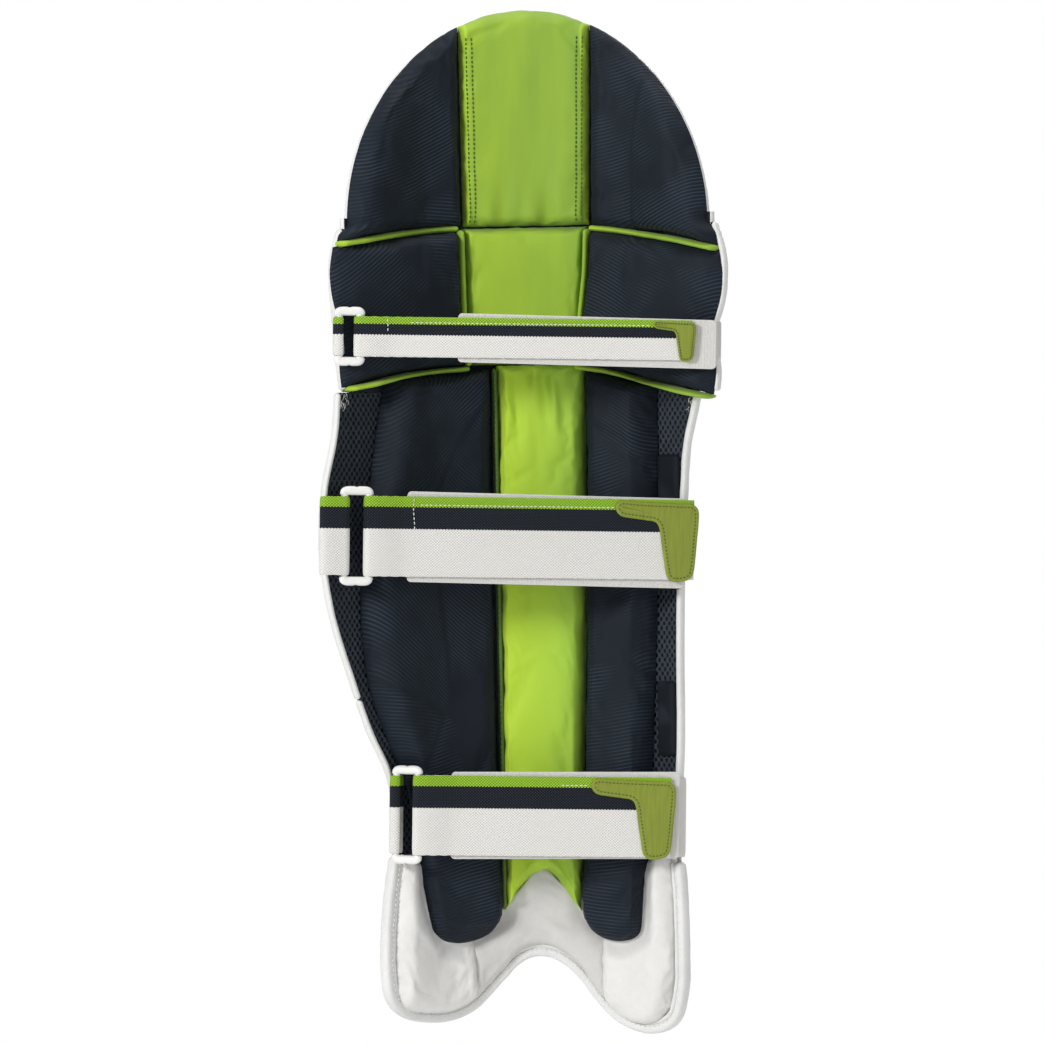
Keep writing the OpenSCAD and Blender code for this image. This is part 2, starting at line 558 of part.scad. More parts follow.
// An L-shaped tab: an arm along the strap's upper edge and a leg down its end.
function tab_shape(w, l, arm) = let (h = w / 54) [[l, w / 2 + 0.5 - 6 * h], [l - 5 * h, w / 2 + 0.5],
    [l - arm + 3 * h, w / 2], [l - arm, w / 2 - 6 * h], [l - arm + 4 * h, w / 2 - 12 * h],
    [l - 26 * h, w / 2 - 15.5 * h], [l - 22.5 * h, w / 2 - 19 * h], [l - 18.5 * h, -w / 2 + 6 * h],
    [l - 14 * h, -w / 2 - 0.6], [l - 7 * h, -w / 2 - 0.6], [l - 3.5 * h, -w / 2 + 6 * h]];
module pull_tab(k, arm) color("#93a22f") strap_frame(k)
    translate([0, free_v - web_t / 2 - 0.1, 0]) rotate([90, 0, 0]) linear_extrude(tab_t)
        polygon(tab_shape(k[5], k[10], arm));
module knee_pull_tab() pull_tab(knee_data(), 29);
module calf_pull_tab() pull_tab(calf_data(), 55);
module ankle_pull_tab() pull_tab(ankle_data(), 58);

shin_face();
shin_rolls();
shin_canes();
shin_foam();
shin_liner();
shin_binding();
left_bolster();
right_bolster();
centre_bolster();
side_panel();
knee_face();
knee_rolls();
knee_foam();
knee_binding();
left_knee_cup();
right_knee_cup();
centre_knee_cushion();
knee_cup_piping();
instep_face();
instep_foam();
instep_binding();
instep_left_cushion();
instep_right_cushion();
instep_tongue();
top_face();
top_rolls();
top_canes();
top_foam();
top_binding();
top_left_pad();
top_right_pad();
top_centre_strip();
wing_face();
wing_foam();
wing_liner();
wing_binding();
knee_strap_base();
calf_strap_base();
ankle_strap_base();
knee_loop_panel();
calf_loop_panel();
ankle_loop_panel();
knee_anchor();
calf_anchor();
ankle_anchor();
ring(knee_data());  // knee_ring
ring(calf_data());  // calf_ring
ring(ankle_data());  // ankle_ring
strap_turn(knee_data());  // knee_strap_turn
strap_turn(calf_data());  // calf_strap_turn
strap_turn(ankle_data());  // ankle_strap_turn
free_strap(knee_data());  // knee_strap
free_strap(calf_data());  // calf_strap
free_strap(ankle_data());  // ankle_strap
hook_patch(knee_data());  // knee_hook_patch
hook_patch(calf_data());  // calf_hook_patch
hook_patch(ankle_data());  // ankle_hook_patch
knee_pull_tab();
calf_pull_tab();
ankle_pull_tab();
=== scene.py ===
import math

import bmesh
import bpy
import numpy as np
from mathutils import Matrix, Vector
from mathutils.bvhtree import BVHTree


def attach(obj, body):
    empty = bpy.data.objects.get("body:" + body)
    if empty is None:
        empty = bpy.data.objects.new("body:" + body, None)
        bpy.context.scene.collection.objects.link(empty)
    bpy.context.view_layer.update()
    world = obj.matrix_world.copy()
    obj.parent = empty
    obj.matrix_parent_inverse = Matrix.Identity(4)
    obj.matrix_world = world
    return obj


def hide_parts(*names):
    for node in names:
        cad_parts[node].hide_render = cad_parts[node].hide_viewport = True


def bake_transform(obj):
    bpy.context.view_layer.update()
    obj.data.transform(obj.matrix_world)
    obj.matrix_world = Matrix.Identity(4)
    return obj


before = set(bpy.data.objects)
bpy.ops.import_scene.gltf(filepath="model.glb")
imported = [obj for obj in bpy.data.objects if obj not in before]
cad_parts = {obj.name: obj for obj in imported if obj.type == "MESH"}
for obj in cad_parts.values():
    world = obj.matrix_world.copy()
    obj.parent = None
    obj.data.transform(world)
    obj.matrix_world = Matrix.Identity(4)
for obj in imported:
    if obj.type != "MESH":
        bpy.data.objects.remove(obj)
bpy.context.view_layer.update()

mm = 0.001

# the pad's plan curve, as in the CAD, in millimetres: a shallow arc in front, a tighter one at
# each side, then a straight wall; legGap stands between the frame's origin and the liner's middle
planCurve = {"frontRadius": 180.0, "frontHalf": 55.0, "sideRadius": 75.0, "wallTurn": math.radians(48), "legGap": 56.0}
frontRadius, frontHalf, sideRadius, wallTurn, legGap = planCurve.values()
frontAngle = math.asin(frontHalf / frontRadius)
frontArc = frontRadius * frontAngle
sideArc = frontArc + sideRadius * (wallTurn - frontAngle)
sideCentre = (frontHalf - sideRadius * math.sin(frontAngle),
              -frontRadius * (1 - math.cos(frontAngle)) - sideRadius * math.cos(frontAngle))
sideEnd = (sideCentre[0] + sideRadius * math.sin(wallTurn), sideCentre[1] + sideRadius * math.cos(wallTurn))


def turnAt(s):
    # angle of the plan curve at arc distance s
    m = np.abs(s)
    side = frontAngle + (m - frontArc) / sideRadius
    return np.where(m < frontArc, m / frontRadius, np.where(m < sideArc, side, wallTurn))


def planPoint(s, d):
    # x, y of a point s along the liner and d towards the leg: curve point minus d times its outward normal
    s, d = np.asarray(s, float), np.asarray(d, float)
    m, a = np.abs(s), turnAt(s)
    x = np.where(m < frontArc, frontRadius * np.sin(a),
                 np.where(m < sideArc, sideCentre[0] + sideRadius * np.sin(a),
                          sideEnd[0] + (m - sideArc) * math.cos(wallTurn)))
    y = np.where(m < frontArc, -frontRadius * (1 - np.cos(a)),
                 np.where(m < sideArc, sideCentre[1] + sideRadius * np.cos(a),
                          sideEnd[1] - (m - sideArc) * math.sin(wallTurn)))
    g = np.where(s < 0, -1.0, 1.0)
    return g * (x - d * np.sin(a)), legGap + y - d * np.cos(a)


def onPad(s, d, z):
    # the points of a grid in space
    x, y = planPoint(s, d)
    return np.stack([x, y, np.broadcast_to(z, x.shape)], -1).reshape(-1, 3)


def alongAt(x):
    # arc distance at which the liner stands at x
    x = np.asarray(x, float)
    m = np.abs(x)
    a = np.arcsin(np.clip((m - sideCentre[0]) / sideRadius, -1, 1))
    s = np.where(m < frontHalf, frontRadius * np.arcsin(np.clip(m / frontRadius, 0, 1)),
                 np.where(m < sideEnd[0], frontArc + sideRadius * (a - frontAngle),
                          sideArc + (m - sideEnd[0]) / math.cos(wallTurn)))
    return np.where(x < 0, -s, s)


def smoothAt(table, z):
    # cubic through [position, value] pairs, slopes from the neighbours
    t = np.asarray(table, float)
    k, v = t[:, 0], t[:, 1]
    slope = np.empty(len(k))
    slope[1:-1] = (v[2:] - v[:-2]) / (k[2:] - k[:-2])
    slope[0], slope[-1] = (v[1] - v[0]) / (k[1] - k[0]), (v[-1] - v[-2]) / (k[-1] - k[-2])
    z = np.asarray(z, float)
    i = np.clip(np.searchsorted(k, z, side="right") - 1, 0, len(k) - 2)
    h = k[i + 1] - k[i]
    u = (z - k[i]) / h
    return ((2 * u**3 - 3 * u**2 + 1) * v[i] + (u**3 - 2 * u**2 + u) * h * slope[i]
            + (3 * u**2 - 2 * u**3) * v[i + 1] + (u**3 - u**2) * h * slope[i + 1])


def ease(u):
    u = np.clip(u, 0, 1)
    return u * u * (3 - 2 * u)


def roundOver(e, r):
    # quarter circle of radius r against distance e from an edge, from 0 to 1
    return np.sqrt(np.clip(1 - (1 - np.clip(e / r, 0, 1))**2, 0, 1))


def ripple(a, b, size, seed):
    # smooth noise from -1 to 1: four sine waves of random heading and phase, wavelengths near size
    r = np.random.default_rng(seed)
    total = 0
    for _ in range(4):
        heading, phase, stretch = r.uniform(0, 2 * math.pi), r.uniform(0, 2 * math.pi), r.uniform(0.7, 1.5)
        total = total + np.sin((a * math.cos(heading) + b * math.sin(heading)) * 2 * math.pi / (size * stretch) + phase)
    return total / 4


def unit(v):
    return v / (np.linalg.norm(v, axis=-1, keepdims=True) + 1e-9)


def runOf(path):
    # how far along a path each of its points lies
    return np.concatenate([[0], np.cumsum(np.linalg.norm(np.diff(path, axis=0), axis=1))])


def walk(path, run, want):
    # the path's points at the wanted distances
    return np.stack([np.interp(want, run, path[:, i]) for i in range(path.shape[1])], 1)


def curveThrough(points, n):
    # smooth curve through the points given, sampled at equal fractions of its length
    p = np.asarray(points, float)
    if len(p) == 2:
        t = np.linspace(0, 1, n)[:, None]
        return p[0] * (1 - t) + p[1] * t
    length = runOf(p)
    fine = np.linspace(0, length[-1], 400)
    q = np.stack([smoothAt(np.stack([length, p[:, i]], 1), fine) for i in range(p.shape[1])], 1)
    run = runOf(q)
    return walk(q, run, np.linspace(0, run[-1], n))


def cosineSteps(n):
    return 0.5 - 0.5 * np.cos(np.pi * np.arange(n + 1) / n)


# the liner's edge seen along Y: z and x up either side, z and half width at the knee, x and z under the instep
leftEdge = [[95, -104], [120, -99.5], [145, -96], [180, -100.8], [210, -113], [245, -124],
            [290, -136.5], [335, -142], [375, -139.5], [410, -132.5], [445, -129.5]]
rightEdge = [[95, 97.5], [120, 95.5], [150, 95], [200, 97.5], [262, 98.3], [320, 100],
             [370, 103], [400, 105.5], [425, 111], [445, 115]]
kneeEdge = [[436, 126], [455, 128.2], [495, 131.2], [522, 132.3], [536, 130.2], [556, 124]]
instepLow = [[-106, 44], [-102, 26], [-92, 15], [-76, 10.5], [-60, 11.5], [-44, 19], [-27, 36],
             [-13, 49.5], [0, 53.4], [12, 50], [26, 38.5], [38, 22], [52, 8], [70, 0.4], [84, 2.5],
             [93, 12], [97, 34]]
instepLeft = [[0, -106], [60, -105.5], [90, -103.5], [126, -98.5]]
instepRight = [[0, 97], [60, 98], [95, 97.5], [126, 95.5]]
flap = {"low": 549.0, "half": 122.5, "rise": 151.0, "crease": 551.4}
layers = {"face": -15.0, "skin": -15.2, "liner": 2.3, "back": -2.4}       # depths of the sewn layers
shin = {"low": 125.4, "top": 439.7}
knee = {"low": 439.9, "top": 549.8}
wing = {"low": 232.0, "top": 439.4, "hinge": 119.0}


def leftAt(z):
    return smoothAt(leftEdge, z)


def rightAt(z):
    return smoothAt(rightEdge, z)


def kneeHalf(z):
    return smoothAt(kneeEdge, z)


pull = {"deep": 5.6, "at": 474, "reach": 17}        # where the knee strap draws the right edge in


def kneeRight(z):
    return kneeHalf(z) - pull["deep"] * np.exp(-((np.asarray(z, float) - pull["at"]) / pull["reach"])**2)


def flapTop(x, inset):
    return flap["low"] + (flap["rise"] - inset) * np.sqrt(np.clip(1 - (x / (flap["half"] - inset))**2, 0, 1))


def flapArc(fromDeg, toDeg, inset, n=12):
    # points on the flap's outline, drawn in by inset; 0 degrees is the right-hand end
    a = np.radians(np.linspace(fromDeg, toDeg, n))
    return np.stack([(flap["half"] - inset) * np.cos(a), flap["low"] + (flap["rise"] - inset) * np.sin(a)], 1)


print("outlines ready")


def fit(piece, slot, body, *nodes, fill=None):
    # a piece, its slot and stuffing (neither is used), the CAD nodes that it stands for, which are hidden, and the body
    # that moves it; a bend, given as a tuple, only bakes it in place
    if nodes:
        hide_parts(*nodes)
    if isinstance(body, tuple):
        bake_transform(piece)
    elif body:
        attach(piece, body)
    return piece


def addPiece(name, points, faces, lay, material, closed=True):
    # lay holds each point's sheet coordinates, which the materials read
    mesh = bpy.data.meshes.new(name)
    faces = faces.tolist() if isinstance(faces, np.ndarray) else faces
    mesh.from_pydata((np.asarray(points, float) * mm).tolist(), [], faces)
    mesh.validate()
    attribute = mesh.attributes.new("lay", "FLOAT_VECTOR", "POINT")
    attribute.data.foreach_set("vector", np.asarray(lay, np.float32).ravel())
    if closed:
        b = bmesh.new()
        b.from_mesh(mesh)
        bmesh.ops.recalc_face_normals(b, faces=b.faces)
        b.to_mesh(mesh)
        b.free()
    mesh.polygons.foreach_set("use_smooth", np.ones(len(mesh.polygons), bool))
    mesh.update()
    piece = bpy.data.objects.new(name, mesh)
    bpy.context.scene.collection.objects.link(piece)
    mesh.materials.append(material)
    return piece


def gridFaces(rows, cols, wrapCols=False):
    # quads of a grid of rows x cols points, optionally closed round its columns
    i, j = np.meshgrid(np.arange(rows - 1), np.arange(cols if wrapCols else cols - 1), indexing="ij")
    a, b = i * cols + j, i * cols + (j + 1) % cols
    return np.stack([a, b, b + cols, a + cols], -1).reshape(-1, 4)


def tubeFaces(rows, cols):
    # a grid closed round its columns, with a cap at either end
    return gridFaces(rows, cols, True).tolist() + [list(range(cols))[::-1], list(range((rows - 1) * cols, rows * cols))]


def slabFaces(rows, cols):
    # two grids of the same outline, joined round the rim
    n = rows * cols
    front = gridFaces(rows, cols)
    rim = np.concatenate([np.arange(cols), np.arange(1, rows) * cols + cols - 1,
                          (rows - 1) * cols + np.arange(cols - 2, -1, -1), np.arange(rows - 2, 0, -1) * cols])
    other = np.roll(rim, -1)
    return np.concatenate([front, front[:, ::-1] + n, np.stack([other, rim, rim + n, other + n], -1)])


def closedSlab(s, z, near, far):
    # a sheet with thickness: its leg side at depth near and its outer side at depth far
    points = np.concatenate([onPad(s, d, z) for d in (near, far)])
    lay = np.concatenate([np.stack([s, z, d], -1).reshape(-1, 3) for d in (near, far)])
    return points, slabFaces(*s.shape), lay


def gather(parts):
    # several [points, faces] as one mesh
    points, faces, count = [], [], 0
    for p, f in parts:
        points.append(p)
        faces += [[i + count for i in face] for face in f]
        count += len(p)
    return np.concatenate(points), faces


def patch(bottom, right, top, left, cols, rows):
    # Coons patch: the four sides blended linearly, less the blend of the corners
    us, vs = cosineSteps(cols), cosineSteps(rows)
    fine = 600

    def sample(side, t):
        return walk(curveThrough(side, fine), np.linspace(0, 1, fine), t)

    b, t, l, r = sample(bottom, us), sample(top, us), sample(left, vs), sample(right, vs)
    u, v = us[None, :, None], vs[:, None, None]
    corners = (1 - u) * (1 - v) * b[0] + u * (1 - v) * b[-1] + (1 - u) * v * t[0] + u * v * t[-1]
    xz = (1 - v) * b[None] + v * t[None] + (1 - u) * l[:, None] + u * r[:, None] - corners
    return xz[..., 0], xz[..., 1], us


def edgeDistances(x, z):
    # millimetres in from each side of a patch, measured along its grid lines
    s = alongAt(x)
    across = np.hypot(np.diff(s, axis=1), np.diff(z, axis=1))
    along = np.hypot(np.diff(s, axis=0), np.diff(z, axis=0))
    left = np.concatenate([np.zeros((len(s), 1)), np.cumsum(across, 1)], 1)
    low = np.concatenate([np.zeros((1, s.shape[1])), np.cumsum(along, 0)], 0)
    return left, left[:, -1:] - left, low, low[-1:] - low


softPieces = []
sewing = {"puckerReach": 7, "puckerStart": 1.5, "puckerSize": 9, "swellReach": 18, "swellSize": 62, "least": 0.4}


def paddedPiece(name, node, material, slot, fill, body="pad", **shape):
    # a crowned pad over a patch: depth is the thickness times a quarter-round at each side,
    # with low swells over it and puckers that fade in from the seams
    x, z, us = patch(shape["bottom"], shape["right"], shape["top"], shape["left"], shape["cols"], shape["rows"])
    s = alongAt(x)
    sides = edgeDistances(x, z)
    form = 1
    for distance, r in zip(sides, shape["round"]):
        form = form * roundOver(distance, r)
    thick, base = [part(s, z) if callable(part) else part for part in (shape["thick"], shape.get("base", 0.3))]
    crown = 1 - shape["flat"] * (2 * us[None] - 1)**2
    edge = np.minimum(np.minimum(sides[0], sides[1]), np.minimum(sides[2], sides[3]))
    pucker = (np.exp(-edge / sewing["puckerReach"]) * (1 - np.exp(-edge / sewing["puckerStart"]))
              * ripple(s, z, sewing["puckerSize"], shape["seed"] + 1))
    swell = ripple(s, z, sewing["swellSize"], shape["seed"]) * roundOver(edge, sewing["swellReach"])
    near = (base + 0.5 + (thick - base) * form * crown + shape.get("pucker", 0.5) * pucker
            + shape.get("swell", 0.5) * swell)
    if "fold" in shape:
        near = near + shape["fold"](s, z, sides[2], sides[3]) * form
    near = np.maximum(near, base + sewing["least"])
    piece = addPiece(name, *closedSlab(s, z, near, np.zeros_like(near) + base), material)
    fit(piece, slot, None, node, fill=fill)
    softPieces.append({"piece": piece, "front": near.size, "cap": shape.get("cap", 1.8), "body": body})


def coordinates(mesh):
    values = np.empty(len(mesh.vertices) * 3)
    mesh.vertices.foreach_get("co", values)
    return values.reshape(-1, 3)


def puffOut(entries, clothSettings, frames):
    # cloth with air pressure, held at its sewn back; how far a point moves saturates at the piece's cap
    for e in entries:
        piece = e["piece"]
        group = piece.vertex_groups.new(name="sewn")
        group.add(list(range(e["front"], len(piece.data.vertices))), 1.0, "REPLACE")
        cloth = piece.modifiers.new("puff", "CLOTH")
        for key, value in clothSettings.items():
            setattr(cloth.settings, key, value)
        cloth.settings.effector_weights.gravity = 0
        cloth.point_cache.frame_start, cloth.point_cache.frame_end = 1, frames
    for f in range(1, frames + 1):
        bpy.context.scene.frame_set(f)
    graph = bpy.context.evaluated_depsgraph_get()
    for e in entries:
        old = coordinates(e["piece"].data)
        step = coordinates(e["piece"].evaluated_get(graph).data) - old
        size = np.linalg.norm(step, axis=1, keepdims=True) + 1e-12
        cap = e["cap"] * mm
        e["result"] = (old + step / size * cap * np.tanh(size / cap)).ravel()
    for e in entries:
        piece = e["piece"]
        piece.modifiers.remove(piece.modifiers["puff"])
        piece.vertex_groups.clear()
        piece.data.vertices.foreach_set("co", e["result"])
    bpy.context.scene.frame_set(1)
    for e in entries:
        e["piece"].data.update()
        finer = e["piece"].modifiers.new("finer", "SUBSURF")
        finer.levels = finer.render_levels = 1
        if isinstance(e["body"], tuple):
            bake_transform(e["piece"])
        else:
            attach(e["piece"], e["body"])


def surfaceTube(name, xz, depth, acrossR, depthR, material, sides=12, power=2.0, lumps=0.0, seed=1):
    # an oval tube that hugs the pad: round its path, across the surface and through the depth
    xz = np.asarray(xz, float)
    s, z = alongAt(xz[:, 0]), xz[:, 1]
    n = len(s)
    d = np.broadcast_to(np.asarray(depth, float), (n,))
    tangent = unit(np.stack([np.gradient(s), np.gradient(z)], 1))
    t = np.arange(sides) * 2 * math.pi / sides
    c, w = (np.sign(q) * np.abs(q)**(2 / power) for q in (np.cos(t), np.sin(t)))
    run = runOf(np.stack([s, z], 1))
    swell = 1 + lumps * ripple(run, run * 0, 17, seed)
    swell = swell * roundOver(np.minimum(run, run[-1] - run) + 0.15, max(acrossR, 0.6))
    ra, rb = (acrossR * swell)[:, None], (depthR * swell)[:, None]
    ss = s[:, None] - tangent[:, 1:2] * ra * c
    zz = z[:, None] + tangent[:, 0:1] * ra * c
    dd = d[:, None] + rb * w
    lay = np.stack([np.broadcast_to(run[:, None], ss.shape), np.broadcast_to(t * acrossR, ss.shape), dd], -1)
    return addPiece(name, onPad(ss, dd, zz), tubeFaces(n, sides), lay.reshape(-1, 3), material)


def stitchRow(centres, headings, normals, length, radius):
    # one grain-shaped stitch per centre: five-sided rings that swell and close at both ends
    along = np.array([-0.5, -0.34, 0.0, 0.34, 0.5]) * length
    size = np.array([0.25, 0.85, 1.0, 0.85, 0.25]) * radius
    a = np.arange(5) * 2 * math.pi / 5
    base = np.stack([np.repeat(along[:, None], 5, 1), size[:, None] * np.cos(a), size[:, None] * np.sin(a)], -1)
    base = base.reshape(-1, 3)
    t = unit(headings)
    n = unit(normals - t * np.sum(normals * t, 1, keepdims=True))
    b = np.cross(n, t)
    points = sum(base[None, :, i:i + 1] * axis[:, None] for i, axis in enumerate((t, b, n))) + centres[:, None]
    return gather([(p, tubeFaces(5, 5)) for p in points])


def stepsAlong(path, pitch):
    # points every pitch along a path, and the path's heading at each
    run = runOf(path)
    want = np.arange(pitch / 2, run[-1], pitch)
    return walk(path, run, want), walk(path, run, want + 0.4) - walk(path, run, want - 0.4)


def threadPiece(name, rows, material, slot, body):
    points, faces = gather(rows)
    return fit(addPiece(name, points, faces, points, material, closed=False), slot, body)


def stitchesOn(name, paths, targets, stitch, material, slot, body, sink=0.15, side=1):
    # stitches laid on finished pieces: each is dropped from the leg side, or the front for side -1,
    # on to what is there; a stitch is its pitch, length and radius
    pitch, length, radius = stitch
    graph = bpy.context.evaluated_depsgraph_get()
    trees = [BVHTree.FromObject(target, graph) for target in targets]
    rows = []
    for path in paths:
        at, _ = stepsAlong(np.asarray(path, float), pitch)
        s = alongAt(at[:, 0])
        start, stop = onPad(s, 60.0 * side, at[:, 1]), onPad(s, -60.0 * side, at[:, 1])
        hits, normals = [], []
        for p, v in zip(start, unit(stop - start)):
            found = [tree.ray_cast(Vector(p * mm), Vector(v)) for tree in trees]
            found = [hit for hit in found if hit[0] is not None]
            if found:
                best = min(found, key=lambda hit: hit[3])
                hits.append(np.array(best[0]) / mm - v * (radius - sink))
                normals.append(-v)
        hits = np.array(hits)
        rows.append(stitchRow(hits, np.gradient(hits, axis=0), np.array(normals), length, radius))
    return threadPiece(name, rows, material, slot, body)


print("builders ready")


class Nodes:
    # a material's node tree, built by short calls
    def __init__(self, name):
        self.material = bpy.data.materials.new(name)
        self.material.use_nodes = True
        self.tree = self.material.node_tree
        self.shader = self.tree.nodes["Principled BSDF"]

    def add(self, kind, **values):
        node = self.tree.nodes.new(kind)
        for key, value in values.items():
            setattr(node, key, value)
        return node

    def put(self, socket, value):
        if hasattr(value, "is_output"):
            self.tree.links.new(value, socket)
        else:
            socket.default_value = value

    def math(self, operation, a, b=0.0):
        node = self.add("ShaderNodeMath", operation=operation)
        self.put(node.inputs[0], a)
        self.put(node.inputs[1], b)
        return node.outputs[0]

    def times(self, a, b):
        return self.math("MULTIPLY", a, b)

    def plus(self, a, b):
        return self.math("ADD", a, b)

    def minus(self, a, b):
        return self.math("SUBTRACT", a, b)

    def sine(self, a):
        return self.math("SINE", a)

    def cosine(self, a):
        return self.math("COSINE", a)

    def placeCoordinates(self):
        return self.add("ShaderNodeTexCoord").outputs["Object"]

    def layCoordinates(self):
        # the piece's own sheet coordinates in millimetres: the whole vector, along, and up
        source = self.add("ShaderNodeAttribute", attribute_name="lay")
        split = self.add("ShaderNodeSeparateXYZ")
        self.put(split.inputs[0], source.outputs["Vector"])
        return source.outputs["Vector"], split.outputs[0], split.outputs[1]

    def noise(self, vector, scale, detail=3.0, roughness=0.5, distortion=0.0):
        node = self.add("ShaderNodeTexNoise")
        self.put(node.inputs["Vector"], vector)
        for key, value in (("Scale", scale), ("Detail", detail), ("Roughness", roughness), ("Distortion", distortion)):
            node.inputs[key].default_value = value
        return node.outputs["Fac"]

    def voronoi(self, vector, scale, feature="F1"):
        node = self.add("ShaderNodeTexVoronoi", feature=feature)
        self.put(node.inputs["Vector"], vector)
        node.inputs["Scale"].default_value = scale
        return node

    def vector(self, x, y, z=0.0):
        node = self.add("ShaderNodeCombineXYZ")
        for socket, value in zip(node.inputs, (x, y, z)):
            self.put(socket, value)
        return node.outputs[0]

    def ramp(self, value, stops):
        node = self.add("ShaderNodeValToRGB")
        self.put(node.inputs[0], value)
        e = node.color_ramp.elements
        while len(e) < len(stops):
            e.new(0.5)
        for element, (position, colour) in zip(e, stops):
            element.position = position
            element.color = (*colour, 1)
        return node.outputs["Color"]

    def range(self, value, fromLow, fromHigh, low=0.0, high=1.0):
        node = self.add("ShaderNodeMapRange")
        for i, v in enumerate((value, fromLow, fromHigh, low, high)):
            self.put(node.inputs[i], v)
        return node.outputs[0]

    def mix(self, fac, a, b):
        node = self.add("ShaderNodeMix", data_type="RGBA")
        self.put(node.inputs[0], fac)
        self.put(node.inputs[6], (*a, 1) if isinstance(a, tuple) else a)
        self.put(node.inputs[7], (*b, 1) if isinstance(b, tuple) else b)
        return node.outputs[2]

    def bump(self, height, distance, strength=1.0):
        node = self.add("ShaderNodeBump")
        node.inputs["Strength"].default_value = strength
        node.inputs["Distance"].default_value = distance
        self.put(node.inputs["Height"], height)
        self.put(self.shader.inputs["Normal"], node.outputs["Normal"])

    def finish(self, colour, roughness, **fixed):
        self.put(self.shader.inputs["Base Color"], colour)
        self.put(self.shader.inputs["Roughness"], roughness)
        for key, value in fixed.items():
            self.shader.inputs[key.replace("_", " ")].default_value = value
        return self.material


def embossedCloth(name, dark, light, pitch=2.4, zone=0.0085):
    # smooth cloth with fine raised lines that change heading from zone to zone and fade in and out
    n = Nodes(name)
    lay, s, z = n.layCoordinates()
    warped = n.noise(lay, 0.012, 1.0)
    place = n.vector(n.plus(s, n.times(warped, 18.0)), n.times(z, 0.8))
    parts = n.add("ShaderNodeSeparateColor")
    n.put(parts.inputs[0], n.voronoi(place, zone).outputs["Color"])
    angle = n.range(parts.outputs[0], 0, 1, -0.75, 0.85)
    c, w = n.cosine(angle), n.sine(angle)
    acrossLines = n.plus(n.times(z, c), n.times(s, w))
    alongLines = n.minus(n.times(s, c), n.times(z, w))
    bent = n.plus(acrossLines, n.times(n.sine(n.times(alongLines, 0.016)), 7.0))
    ridge = n.range(n.sine(n.times(bent, 2 * math.pi / pitch)), 0.1, 1.0)
    fade = n.range(n.noise(lay, 0.022, 2.0), 0.4, 0.62)
    border = n.range(n.voronoi(place, zone, "DISTANCE_TO_EDGE").outputs["Distance"], 0.0, 0.03)
    lines = n.times(n.times(ridge, fade), border)
    grain = n.noise(lay, 2.4, 4.0, 0.65)
    cloud = n.noise(lay, 0.018, 2.0)
    tone = n.plus(n.times(lines, 0.75), n.plus(n.times(grain, 0.32), n.times(cloud, 0.25)))
    colour = n.ramp(tone, [(0.2, dark), (0.95, light)])
    n.bump(n.plus(lines, n.times(grain, 0.22)), 0.00035, 0.6)
    return n.finish(colour, n.range(grain, 0.2, 0.8, 0.58, 0.74), Sheen_Weight=0.02, Sheen_Roughness=0.5,
                    Specular_IOR_Level=0.14)


def limeCloth(name, bright, deep, left, right, foldShading, band=None):
    # knitted lime cloth with a fine grain, its colour painted lighter at the left and darker towards the right as light
    # from the left leaves it (painted shade), with faint upright streaks of painted fold shade and light; outside the
    # band it is a brighter lime
    n = Nodes(name)
    lay, s, z = n.layCoordinates()
    # painted shade across the width: bright at the left bound, deep (the shaded colour) at the right
    across = n.range(s, left, right)
    # upright streaks: painted shade and light of the cloth's folds
    foldShadingStreaks = n.noise(n.vector(n.times(s, 0.06), n.times(z, 0.012)), 1.0, 2.0)
    grain = n.noise(lay, 1.3, 4.0, 0.7)
    uneven = n.plus(n.times(n.minus(foldShadingStreaks, 0.5), foldShading * 2), n.times(n.minus(grain, 0.5), 0.3))
    tone = n.plus(across, uneven)
    middle = tuple((a + b) / 2 * 1.02 for a, b in zip(bright, deep))
    colour = n.ramp(tone, [(0.0, bright), (0.55, middle), (1.0, deep)])
    if band:
        edges = n.range(n.math("ABSOLUTE", s), band - 0.4, band + 0.4, 0.0, 0.6)
        colour = n.mix(edges, colour, (0.38, 0.58, 0.03))
    knit = n.times(n.sine(n.times(s, 6.3)), n.sine(n.times(z, 6.3)))
    n.bump(n.plus(n.times(knit, 0.25), n.times(grain, 0.5)), 0.0002, 0.45)
    return n.finish(colour, n.range(grain, 0.2, 0.8, 0.55, 0.72), Sheen_Weight=0.1, Sheen_Roughness=0.5,
                    Specular_IOR_Level=0.3)


def coatedLeather(name, light, shade, pebble, depth, rough=(0.34, 0.5)):
    # coated leather: shallow pebbles between fine creases, its colour a little grey in the low hollows and creases:
    # painted shade
    n = Nodes(name)
    lay, _, _ = n.layCoordinates()
    cells = n.voronoi(lay, pebble, "DISTANCE_TO_EDGE").outputs["Distance"]
    pebbles = n.range(cells, 0.0, 0.22)
    creases = n.noise(lay, 0.16, 4.0, 0.6, 0.6)
    cloud = n.noise(lay, 0.02, 3.0)
    tone = n.plus(n.times(pebbles, 0.18), n.plus(n.times(creases, 0.3), n.times(cloud, 0.4)))
    colour = n.ramp(tone, [(0.25, shade), (0.75, light)])
    n.bump(n.plus(n.times(pebbles, 0.6), n.times(creases, 0.8)), depth, 0.6)
    return n.finish(colour, n.range(creases, 0.3, 0.7, rough[0], rough[1]), Specular_IOR_Level=0.4)


